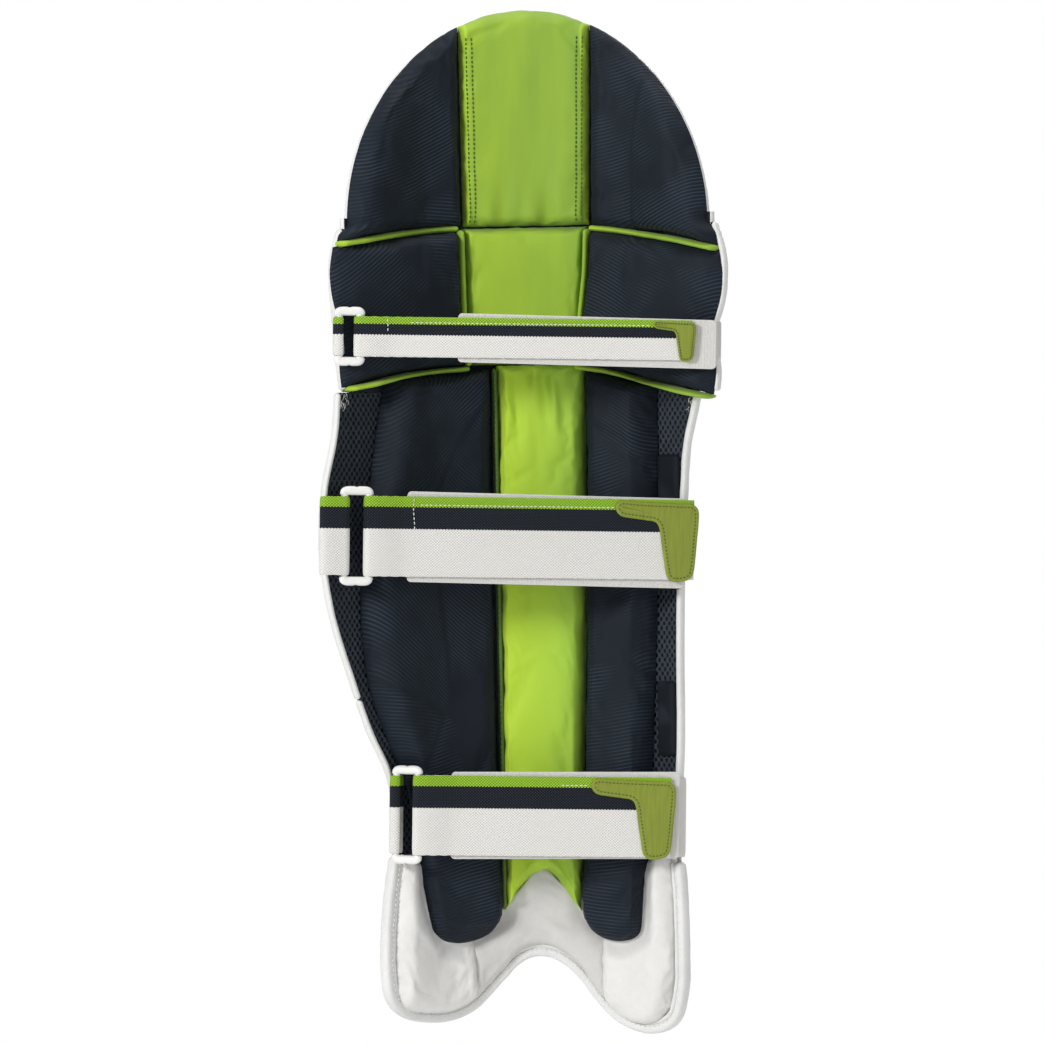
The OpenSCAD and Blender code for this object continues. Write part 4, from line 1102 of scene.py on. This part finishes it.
# the strip that bends across the crease: navy inside, white outside
crease = {"low": 545.0, "high": 557.0, "inset": 4.2, "at": 548.0}
halfS = float(alongAt(kneeHalf(crease["at"])))
s, z = sheetGrid(level(crease["inset"] - halfS), level(halfS - crease["inset"]),
                 np.linspace(crease["low"], crease["high"], 22), 100)
out = layers["face"] * thinToEdge(halfS - np.abs(s)) - 0.35
creaseStrip = addPiece("creaseStrip", *closedSlab(s, z, s * 0 + 0.45, out), whiteFacing)
creaseStrip.data.materials.append(plainNavy)
marks = np.zeros(len(creaseStrip.data.polygons), np.int32)
marks[:(s.shape[0] - 1) * (s.shape[1] - 1)] = 1
creaseStrip.data.polygons.foreach_set("material_index", marks)
fit(creaseStrip, "facing", acrossCrease)
print("facing made")


# bound edges
def edgePath(edge, z0, z1, n, inset=1.5):
    # a line just inside an edge, measured along the surface
    z = np.linspace(z0, z1, n)
    s = alongAt(edge(z))
    x, _ = planPoint(s - np.sign(s) * inset, 0)
    return np.stack([x, z], 1)


def drawnIn(path, inset):
    # the same line moved to the left of its heading
    p = np.stack([alongAt(path[:, 0]), path[:, 1]], 1)
    t = unit(np.gradient(p, axis=0))
    q = p + inset * np.stack([-t[:, 1], t[:, 0]], 1)
    x, _ = planPoint(q[:, 0], 0)
    return np.stack([x, q[:, 1]], 1)


rimLow = curveThrough(np.array(instepLow, float), 300)
zLeft, zRight = np.linspace(125, 46, 60), np.linspace(36, 125, 60)
leftUp = np.stack([smoothAt(instepLeft, zLeft), zLeft], 1)
rightUp = np.stack([smoothAt(instepRight, zRight), zRight], 1)
rim = curveThrough(np.concatenate([leftUp[::6], rimLow[::10][1:-1], rightUp[::6]]), 520)
slim, stout, rolled = (1.6, -1.5, 2.5), (2.2, -1.7, 2.9), (3.4, -1.4, 4.2)      # half width, depth, half depth
bindings = {
    "shinLeftBinding": (edgePath(leftAt, 126, wing["low"] - 0.6, 80), slim, 0.05, 2, "pad", "shin_binding"),
    "shinRightBinding": (edgePath(rightAt, 126, 436.5, 200), stout, 0.05, 3, "pad"),
    "kneeLeftBinding": (edgePath(lambda z: -kneeHalf(z), 441, 549.6, 80), slim, 0.05, 4, "pad", "knee_binding"),
    "kneeRightBinding": (edgePath(kneeRight, 436, 549.6, 80), slim, 0.05, 5, "pad"),
    "wingBinding": (edgePath(leftAt, wing["low"] + 0.4, wing["top"] - 0.2, 140), slim, 0.05, 6, "side_wing",
                    "wing_binding"),
    "topBinding": (flapArc(1.2, 178.8, 2.4, 260), slim, 0.05, 7, "thigh_flap", "top_binding"),
    "instepBinding": (drawnIn(rim, 2.7), rolled, 0.04, 8, "pad", "instep_binding"),
}
bound = {}
for name, (path, (across, depth, through), lumps, seed, body, *nodes) in bindings.items():
    edge = surfaceTube(name, path, depth, across, through, whiteEdge, sides=18, power=3.0, lumps=lumps, seed=seed)
    bound[name] = fit(edge, "edge_binding", body, *nodes)
instepWelt = surfaceTube("instepWelt", drawnIn(rim, 6.9), 1.2, 1.7, 1.5, whiteEdge, lumps=0.08, seed=9)
fit(instepWelt, "edge_binding", "pad")
print("edges bound")

# rolls on the front
roll = {"count": 7, "pitch": 24.5, "proud": 15.0, "dome": 13.0, "from": 127.0, "to": 438.6, "topFrom": 560.5}
kneeRoll = {"count": 3, "proud": 21.0, "half": 98.5, "dome": 22.0, "from": 441.5, "to": 548.2}


def rollPiece(name, grids, body, node):
    # each roll is a half ellipse carried along the pad, closed by a dome at either end
    points, faces = gather([(onPad(s, d, z), tubeFaces(*s.shape)) for s, z, d in grids])
    lay = np.concatenate([np.stack(grid, -1).reshape(-1, 3) for grid in grids])
    fit(addPiece(name, points, faces, lay, whiteFacing), "facing", body, node, fill=0.95)


def uprightRoll(i, z0, z1):
    t = np.linspace(0, math.pi, 25)
    along = z0 + (z1 - z0) * cosineSteps(70)
    dome = roundOver(np.minimum(along - z0, z1 - along) + 0.05, roll["dome"])[:, None]
    half = (roll["pitch"] / 2 - 0.05) * (0.55 + 0.45 * dome)
    s = (i - (roll["count"] - 1) / 2) * roll["pitch"] + half * np.cos(t)
    z = np.broadcast_to(along[:, None], s.shape)
    height = roll["proud"] * dome * np.sin(t)**0.85
    height = height * (1 + 0.025 * ripple(s, z, 40, 90 + i)) + 0.25 * ripple(s, z, 11, 70 + i) * np.sin(t)
    return s, z, layers["skin"] + 1.2 - 1.2 * np.sin(t) - height


def crossRoll(k):
    pitch = (kneeRoll["to"] - kneeRoll["from"]) / kneeRoll["count"]
    t = np.linspace(0, math.pi, 27)
    s = np.linspace(-kneeRoll["half"], kneeRoll["half"], 120)[:, None]
    end = roundOver(kneeRoll["half"] + 0.1 - np.abs(s), kneeRoll["dome"])
    z = kneeRoll["from"] + pitch * (k + 0.5) + (pitch / 2 - 0.2) * (0.7 + 0.3 * end) * np.cos(t)
    s = np.broadcast_to(s, z.shape)
    height = kneeRoll["proud"] * end * np.sin(t)**0.85 * (1 + 0.02 * ripple(s, z, 40, 30 + k))
    return s, z, layers["skin"] + 1.4 - 1.4 * np.sin(t) - height - 0.25 * np.sin(t) * ripple(s, z, 12, 40 + k)


def topRollEnd(i):
    x = (abs(i - 3) + 0.5) * roll["pitch"] * 0.94
    return flap["low"] + flap["rise"] * math.sqrt(1 - (x / flap["half"])**2) - 11


sevenRolls = range(roll["count"])
rollPiece("shinRolls", [uprightRoll(i, roll["from"], roll["to"]) for i in sevenRolls], "pad", "shin_rolls")
rollPiece("topRolls", [uprightRoll(i, roll["topFrom"], topRollEnd(i)) for i in sevenRolls], "thigh_flap", "top_rolls")
rollPiece("kneeRolls", [crossRoll(k) for k in range(kneeRoll["count"])], "pad", "knee_rolls")
print("rolls made")

# straps: u along the strap, v towards the pad, w up, from a point on the ring's inner bar
tilt = math.radians(1.8)
turnV = 3.4        # how far the webbing's middle stands from a bar's
straps = {
    "knee": {"start": (-114.0, -28.0, 476.8), "corner": (130.5, -24.6), "width": 27.0, "bars": 14.0, "ringTurn": 0.0,
             "panel": (66.0, 240.0, 33.0, -2.6), "end": 226.0, "edge": 124.4, "leftEdge": -129.8, "seam": 18.5,
             "stitchFrom": 34.0, "body": "pad", "bands": webbingNarrow, "lime": 0.10, "tab": 0.5, "tabPitch": 1.9},
    "calf": {"start": (-110.0, -35.0, 342.4), "corner": (104.0, 6.0), "width": 54.0, "bars": 17.6, "ringTurn": 0.0,
             "panel": (26.0, 216.0, 61.0, -2.4), "end": 225.0, "edge": 101.0, "leftEdge": -142.0, "seam": 30.0,
             "stitchFrom": 34.0, "body": "side_wing", "bands": webbingWide, "lime": 0.085, "tab": 1.0, "tabPitch": 2.5},
    "ankle": {"start": (-81.0, -1.5, 153.0), "corner": (96.5, 11.8), "width": 54.0, "bars": 17.6, "ringTurn": 30.0,
              "panel": (22.0, 177.0, 59.0, 1.6), "end": 174.0, "edge": 95.2, "leftEdge": -97.0, "seam": 0.0,
              "stitchFrom": 96.0, "body": "pad", "bands": webbingWide, "lime": 0.085, "tab": 1.0, "tabPitch": 2.5},
}
for k in straps.values():
    q = np.array(k["corner"]) - np.array(k["start"][:2])
    a = k["slant"] = math.atan2(q[1], q[0]) - math.asin(turnV / np.linalg.norm(q))
    k["U"] = np.array([math.cos(a) * math.cos(tilt), math.sin(a) * math.cos(tilt), -math.sin(tilt)])
    k["V"] = np.array([-math.sin(a), math.cos(a), 0.0])
    k["W"] = np.array([math.sin(tilt) * math.cos(a), math.sin(tilt) * math.sin(a), math.cos(tilt)])
    r = math.radians(k["ringTurn"])
    k["leftBar"] = np.array([-k["bars"] * math.cos(r), k["bars"] * math.sin(r)])


def strapPoint(k, u, v, w):
    u, v, w = (np.asarray(q, float)[..., None] for q in (u, v, w))
    return np.array(k["start"]) + u * k["U"] + v * k["V"] + w * k["W"]


def toStrap(k, points):
    # plan points to the strap's own u, v
    q = np.asarray(points, float) - np.array(k["start"][:2])
    c, w = math.cos(k["slant"]), math.sin(k["slant"])
    return np.stack([q[:, 0] * c + q[:, 1] * w, -q[:, 0] * w + q[:, 1] * c], 1)


def byEdge(k, x, steps):
    # steps in from the pad's edge at x and towards the leg, as u, v
    s = float(alongAt(np.array(x)))
    return toStrap(k, [planPoint(s - np.sign(x) * a, b) for a, b in steps])


def ribbonPiece(name, k, path, width, material, n, seed):
    # webbing: a rounded thin section carried along a smooth path in the strap's plan
    thick, rows = 1.6, 24
    q = curveThrough(path, n)
    t = unit(np.gradient(q, axis=0))
    run = runOf(q)[:, None]
    up = np.sin(np.linspace(-math.pi / 2, math.pi / 2, rows))
    half = thick / 2 * np.sqrt(np.clip(1 - np.abs(up)**14, 0.02, 1))
    w = up * (width / 2) + 0.16 * ripple(run, run * 0 + seed, 5.0, seed) * np.abs(up)**8 * np.sign(up)
    front, back = [strapPoint(k, q[:, 0:1] - t[:, 1:2] * off, q[:, 1:2] + t[:, 0:1] * off, w) for off in (half, -half)]
    ring = np.concatenate([front, back[:, ::-1]], 1)
    height = np.broadcast_to(np.concatenate([up, up[::-1]]) * 0.5 + 0.5, ring.shape[:2])
    lay = np.stack([np.broadcast_to(run, height.shape), height, height * 0], -1)
    return addPiece(name, ring.reshape(-1, 3), tubeFaces(n, 2 * rows), lay.reshape(-1, 3), material)


def flatPanel(name, k, u0, u1, v0, v1, width, corner, lift, material):
    # a flat strip with rounded corners, from u0 to u1 and v0 to v1
    a, b = np.meshgrid(cosineSteps(90), cosineSteps(26))
    inset = corner * (1 - roundOver(np.minimum(a, 1 - a) * (u1 - u0), corner))
    u = u0 + (u1 - u0) * a
    w = (b - 0.5) * (width - 2 * inset) + lift * a
    e = np.minimum(np.minimum(a, 1 - a) * (u1 - u0), np.minimum(b, 1 - b) * width)
    face = v0 + (1 - roundOver(e + 0.05, 1.2)) * (v1 - v0) * 0.45
    points = np.concatenate([strapPoint(k, u, v, w).reshape(-1, 3) for v in (face, u * 0 + v1)])
    flat = np.stack([u, w, u * 0], -1).reshape(-1, 3)
    return addPiece(name, points, slabFaces(*a.shape), np.concatenate([flat, flat]), material)


ringShape = {"square": 7.0, "play": 3.4, "flare": 1.7, "bar": 2.3, "plate": 0.75, "plateDepth": 0.15, "notch": 0.45}


def ringPiece(name, k):
    # a closed loop: round bars at the sides, broad flattened bars at the ends with a small notch
    half = k["bars"] / 2
    reach = k["width"] / 2 + ringShape["play"]
    n, sides = 240, 16
    t = np.linspace(0, 2 * math.pi, n, endpoint=False)
    c, w = np.cos(t), np.sin(t)
    r = (np.abs(c)**ringShape["square"] + np.abs(w)**ringShape["square"])**(-1 / ringShape["square"])
    centre = np.stack([c * r * half, w * r * reach], 1)
    centre[:, 0] *= 1 + ringShape["flare"] / half * ease((np.abs(centre[:, 1]) - k["width"] / 2 - 0.2) / 1.6)
    loop = np.concatenate([centre, centre[:1]])        # then evenly spaced
    run = runOf(loop)
    centre = walk(loop, run, np.linspace(0, run[-1], n, endpoint=False))
    tangent = unit(np.roll(centre, -1, 0) - np.roll(centre, 1, 0))
    outward = np.stack([tangent[:, 1], -tangent[:, 0]], 1)
    atEnd = ease((np.abs(centre[:, 1]) - (reach - 3.2)) / 3.0)
    notch = ringShape["notch"] * np.exp(-(centre[:, 0] / 1.1)**2) * atEnd
    radial, deep = ringShape["bar"] + ringShape["plate"] * atEnd, ringShape["bar"] + ringShape["plateDepth"] * atEnd
    a = np.arange(sides) * 2 * math.pi / sides
    off = radial[:, None] * np.cos(a) - notch[:, None] * np.clip(np.cos(a), 0, 1)
    uw = centre[:, None] + outward[:, None] * off[..., None]
    u, v, w = uw[..., 0] - half, deep[:, None] * np.sin(a), uw[..., 1]
    c, s = math.cos(math.radians(k["ringTurn"])), -math.sin(math.radians(k["ringTurn"]))
    points = strapPoint(k, u * c - v * s, u * s + v * c, w).reshape(-1, 3)
    faces = (gridFaces(n + 1, sides, True)) % (n * sides)
    return addPiece(name, points, faces, points, ringPlastic)


# the tab's L, from its tip: u from the strap's end, w up
tabOutline = np.array([(-57.2, 22.2), (-54.2, 26.0), (-42, 25.6), (-28.8, 25.1), (-14, 24.6), (-4.1, 24.0),
                       (-0.4, 20.4), (0.0, 12.5), (-1.0, 0.0), (-2.0, -12.4), (-3.4, -22.6), (-6.2, -26.6),
                       (-11.7, -28.3), (-17.8, -28.2), (-21.4, -25.0), (-23.6, -14), (-25.3, -3.2), (-27.0, 7.4),
                       (-29.6, 11.6), (-36, 12.9), (-46, 14.2), (-53.0, 15.4), (-56.4, 18.4)])


def closedCurve(points, n):
    # a smooth closed line: the curve overlaps its own start, and one whole turn of it is kept
    q = curveThrough(np.concatenate([points[-3:], points, points[:4]]), 1200)
    gap = np.linalg.norm(q - points[0], axis=1)
    turn = q[int(np.argmin(gap[:500])):600 + int(np.argmin(gap[600:]))]
    run = runOf(turn)
    return walk(turn, run, np.linspace(0, run[-1], n, endpoint=False))


def insetLoop(loop, amount):
    t = np.roll(loop, -1, 0) - np.roll(loop, 1, 0)
    t /= np.linalg.norm(t, axis=1, keepdims=True)
    return loop + amount * np.stack([t[:, 1], -t[:, 0]], 1)


def onStrap(k, path, stitch):
    # a row of stitches along a path of u, v, w on the strap's outer face
    pitch, length, radius = stitch
    at, ahead = stepsAlong(np.asarray(path, float), pitch)
    centres = strapPoint(k, at[:, 0], at[:, 1], at[:, 2])
    heading = ahead @ np.array([k["U"], k["V"], k["W"]])
    return stitchRow(centres, heading, np.broadcast_to(-k["V"], centres.shape), length, radius)


def pullTab(key, k, v):
    # leather cut to an L, its edge eased over and its face slightly domed inside the stitching
    size, n = max(k["tab"], 0.6), 170
    loop = closedCurve(tabOutline * k["tab"], n)
    rises = [(0.0, 0.0), (0.0, 0.9), (0.35, 1.35), (0.9, 1.6), (1.9, 1.55), (2.5, 1.42), (3.2, 1.62), (4.6, 1.75)]
    lines = [(insetLoop(loop, inset * size), height) for inset, height in rises]
    points = np.concatenate([strapPoint(k, k["end"] + q[:, 0], q[:, 0] * 0 + v - height, q[:, 1])
                             for q, height in lines])
    lay = np.concatenate([np.stack([q[:, 0], q[:, 1], q[:, 0] * 0], -1) for q, _ in lines])
    piece = addPiece(key + "PullTab", points, tubeFaces(len(rises), n), lay, oliveLeather)
    b = bmesh.new()
    b.from_mesh(piece.data)
    bmesh.ops.triangulate(b, faces=[f for f in b.faces if len(f.verts) > 4])
    b.to_mesh(piece.data)
    b.free()
    piece.data.polygons.foreach_set("use_smooth", np.ones(len(piece.data.polygons), bool))
    fit(piece, "tab_leather", key + "_strap_end", key + "_pull_tab")
    seam = insetLoop(loop, 2.45 * size)
    seam = np.concatenate([seam, seam[:1]])
    seam = np.stack([k["end"] + seam[:, 0], seam[:, 0] * 0 + v - 1.55, seam[:, 1]], 1)
    threadPiece(key + "PullTabStitching", [onStrap(k, seam, (k["tabPitch"], 1.3, 0.46))], greenThread,
                "tab_leather", key + "_strap_end")


# depths of the layers under a strap, from the base strap out to the free end
panelV = turnV - 0.9
hookV = panelV - 1.4
freeV = hookV - 1.8
arc = np.radians(np.linspace(90, 270, 11))
for key, k in straps.items():
    w, end, peel, ringBody = k["width"], k["end"], key + "_strap_end", key + "_ring_body"
    # the turn round the inner bar and the free end, as one length of webbing
    around = np.stack([turnV * np.cos(arc), turnV * np.sin(arc)], 1)
    path = np.concatenate([around, [[5.0, -turnV], [12.0, -2.6], [24.0, freeV], [60.0, freeV], [end * 0.6, freeV],
                                    [end - 3.0, freeV]]])
    bend = [tuple(strapPoint(k, u, 0.0, 0.0) * mm) for u in (0.0, 6.0)]
    fit(ribbonPiece(key + "Strap", k, path, w, k["bands"], 260, 11), "webbing", (ringBody, peel, *bend),
        key + "_strap", key + "_strap_turn")
    # the base strap across the back and round the inner edge
    corner = toStrap(k, [k["corner"]])[0][0]
    across = [[0.8, turnV], [30.0, turnV], [90.0, turnV], [corner - 20, turnV], [corner - 4, turnV + 0.1]]
    hem = [(-2.2, 1.2), (-2.3, -2.2), (-1.2, -4.8), (2.0, -6.4), (7.0, -8.2), (14.0, -12.0)]
    path = np.concatenate([across, byEdge(k, k["edge"], hem)])
    fit(ribbonPiece(key + "StrapBase", k, path, w, webbingPlain, 240, 17), "webbing", "pad", key + "_strap_base")
    # loop pile on the base strap, hook tape under the free end
    u0, u1, panelWidth, lift = k["panel"]
    fit(flatPanel(key + "LoopPanel", k, u0, u1, panelV - 1.1, panelV, panelWidth, 3.0, lift, pile),
        "loop_pile", "pad", key + "_loop_panel")
    fit(flatPanel(key + "HookPatch", k, max(30, u0 + 6), end - 8, hookV - 0.9, hookV, w - 4, 2.0, 0.0, hooks),
        "hook_tape", peel, key + "_hook_patch")
    fit(ringPiece(key + "Ring", k), "ring_plastic", ringBody, key + "_ring")
    # the anchor, round the outer bar and back to the bound edge
    bar = k["leftBar"]
    if key == "calf":
        wrap = bar + turnV * np.stack([np.cos(arc[::-1] - math.pi), np.sin(arc[::-1] - math.pi)], 1)
        tail = byEdge(k, k["leftEdge"], [(-5.0, 10.2), (-7.2, 7.4), (-6.2, 4.8), (-2.5, 3.4), (4.5, 2.9)])
        path = np.concatenate([wrap[:-1], [bar + [0, -turnV]], tail])
    else:
        edgePoint = np.array([float(c) for c in planPoint(float(alongAt(k["leftEdge"])), 0.0)])
        inward = np.array([math.cos(wallTurn), math.sin(wallTurn)])
        legward = np.array([math.sin(wallTurn), -math.cos(wallTurn)])
        barAt = strapPoint(k, bar[0], bar[1], 0.0)[:2] - edgePoint
        along, out = float(barAt @ inward), float(barAt @ legward)
        turns = [(along - turnV * math.cos(a), out + turnV * math.sin(a)) for a in np.radians(np.linspace(90, -90, 11))]
        tail = [(0.5, max(min(out - turnV, 3.2), 2.6)), (4.0, 2.7)]
        path = toStrap(k, [edgePoint + inward * a + legward * b for a, b in turns + tail])
    fit(ribbonPiece(key + "Anchor", k, path, w - 1.2, k["bands"], 70, 23), "webbing", k["body"], key + "_anchor")
    pullTab(key, k, freeV - 0.85)
    # stitching: a bar across the folded end and a row along the lime band
    face, rows = freeV - 0.95, []
    if k["seam"]:
        rise = np.linspace(w / 2 - 1, w / 2 - w * 0.42, 14)
        depth = np.interp(k["seam"], [12, 24], [-3.45, face])
        rows.append(np.stack([k["seam"] + 0.4 * np.sin(rise / 4), rise * 0 + depth, rise], 1))
    u = np.linspace(k["stitchFrom"], end - 57 * k["tab"] - 1, 40)
    rows.append(np.stack([u, u * 0 + face, u * 0 + w * (0.5 - k["lime"]) - 1.2], 1))
    rows = [onStrap(k, row, (3.1, 2.0, 0.36)) for row in rows]
    threadPiece(key + "StrapStitching", rows, whiteThread, "webbing", peel)
print("straps made")


# stitching and loose threads
def flapSeam(x0, x1):
    t = np.linspace(0, 1, 60)
    return np.stack([x0 + (x1 - x0) * t, 554 + t * (float(flapTop(x1, 2.2)) - 562)], 1)


seams = [flapSeam(*ends) for ends in ((-41.0, -42.2), (-37.4, -38.2), (39.6, 42.6), (35.8, 38.6))]
stitchesOn("topStripStitching", seams, [padding["topCentreStrip"]], (3.1, 2.2, 0.5), greenThread, "lime_fabric",
           "thigh_flap", 0.1)
stitchesOn("instepStitching", [drawnIn(rim, 4.5)], [bound["instepBinding"], instepLining, instepWelt], (3.4, 2.3, 0.45),
           whiteThread, "edge_binding", "pad", 0.05)
stitchesOn("weltStitching", [[(-26.0, z) for z in np.linspace(112, 452, 80)]],
           [welt, padding["centreBolster"], padding["leftBolster"]], (3.6, 2.2, 0.3), limeThread, "lime_fabric", "pad")
rollSides = [float(planPoint(side * roll["count"] / 2 * roll["pitch"], 0)[0]) for side in (-1, 1)]
stitchesOn("rollStitching", [[(x, z) for z in np.linspace(130, 436, 60)] for x in rollSides], [shinShell],
           (4.5, 3.0, 0.45), greyThread, "facing", "pad", side=-1)
stitchesOn("edgeStitching", [edgePath(rightAt, 130, 432, 120, inset=5.2)], [shinShell], (4.0, 2.6, 0.4), greyThread,
           "edge_binding", "pad", side=-1)


def frayedThreads(name, centre, count, spread, length, seed, body):
    # short loose fibres: thin tapering tubes that curl away from a frayed edge
    r = np.random.default_rng(seed)
    t, a = np.linspace(0, 1, 8), np.arange(5) * 2 * math.pi / 5
    radius = (0.17 * (1 - 0.6 * t))[:, None]
    fibres = []
    for _ in range(count):
        x, z = centre[0] + r.normal(0, spread), centre[1] + r.normal(0, spread * 1.6)
        heading, curl = r.uniform(-2.6, -0.4), r.normal(0, 0.25)
        size = length * r.uniform(0.5, 1.1)
        turns = heading + curl * t * 3
        s = (alongAt(x) + size * np.cumsum(np.cos(turns)) / 8)[:, None]
        up = (z + size * np.cumsum(np.sin(turns)) / 8)[:, None]
        d = (1.7 + 1.2 * np.sin(t * 2.4 + r.uniform(0, 1)))[:, None]
        fibres.append((onPad(s + radius * np.cos(a), d + radius * np.sin(a), up), tubeFaces(8, 5)))
    points, faces = gather(fibres)
    fit(addPiece(name, points, faces, points, whiteThread), "edge_binding", body)


frayedThreads("frayLeft", (-127.5, 436), 16, 2.2, 6.0, 5, "side_wing")
frayedThreads("frayRight", (112.0, 431), 12, 2.0, 5.0, 6, "pad")
print("stitching done")

# the canes inside the rolls keep their CAD shape
for node in ("shin_canes", "top_canes"):
    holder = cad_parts[node]
    holder.data.materials.clear()
    holder.data.materials.append(cane)

# floor, light and camera
studio = {"floorDrop": -0.17, "floorSize": 2.1, "distance": 5.0, "plane": 0.035, "width": 0.7112,
          "centre": (-0.0073, 0.3499), "roll": 1.09, "sensor": 36}
pale = Nodes("paleFloor")
grey = pale.noise(pale.placeCoordinates(), 3.0, 2.0)
paleFloor = pale.finish(pale.ramp(grey, [(0.3, (0.84, 0.84, 0.84)), (0.7, (0.88, 0.88, 0.88))]), 0.7)
t = np.linspace(0, 2 * math.pi, 64, endpoint=False)
size, drop = studio["floorSize"] / mm, studio["floorDrop"] / mm
floorPoints = np.stack([size * np.cos(t), size * np.sin(t), t * 0 + drop], 1)
addPiece("floor", floorPoints, [list(range(64))], floorPoints, paleFloor, closed=False)

world = bpy.data.worlds.new("studio")
bpy.context.scene.world = world
world.use_nodes = True
wt = world.node_tree
light = wt.nodes["Background"]
white = wt.nodes.new("ShaderNodeBackground")
for node, strength in ((light, 0.45), (white, 1.0)):        # what lights the pad, and what the camera sees
    node.inputs["Color"].default_value = (1, 1, 1, 1)
    node.inputs["Strength"].default_value = strength
path = wt.nodes.new("ShaderNodeLightPath")
either = wt.nodes.new("ShaderNodeMixShader")
wt.links.new(path.outputs["Is Camera Ray"], either.inputs[0])
wt.links.new(light.outputs[0], either.inputs[1])
wt.links.new(white.outputs[0], either.inputs[2])
wt.links.new(either.outputs[0], wt.nodes["World Output"].inputs["Surface"])


def softLight(name, place, target, size, power):
    data = bpy.data.lights.new(name, "AREA")
    data.shape = "DISK"
    data.size = size
    data.energy = power
    lamp = bpy.data.objects.new(name, data)
    bpy.context.scene.collection.objects.link(lamp)
    lamp.location = place
    lamp.rotation_euler = (Vector(target) - Vector(place)).to_track_quat("-Z", "Y").to_euler()


softLight("keyLight", (-2.0, -2.1, 1.35), (0, 0, 0.34), 0.8, 62)
softLight("fillLight", (1.6, -2.6, 0.5), (0, 0, 0.34), 1.8, 13)
softLight("topLight", (0.2, 0.1, 2.4), (0, 0, 0.36), 1.2, 20)
softLight("frontLight", (0.9, 2.6, 1.3), (0, 0, 0.36), 1.6, 34)

camera = bpy.data.objects.new("camera", bpy.data.cameras.new("camera"))
bpy.context.scene.collection.objects.link(camera)
camera.data.sensor_width = studio["sensor"]
camera.data.lens = studio["sensor"] * (studio["distance"] + studio["plane"]) / studio["width"]
camera.data.clip_end = 50
camera.location = (studio["centre"][0], -studio["distance"], studio["centre"][1])
camera.rotation_euler = (math.pi / 2, math.radians(studio["roll"]), 0)
bpy.context.scene.camera = camera
bpy.context.scene.view_settings.view_transform = "Standard"
bpy.context.scene.view_settings.look = "None"
print("studio ready")
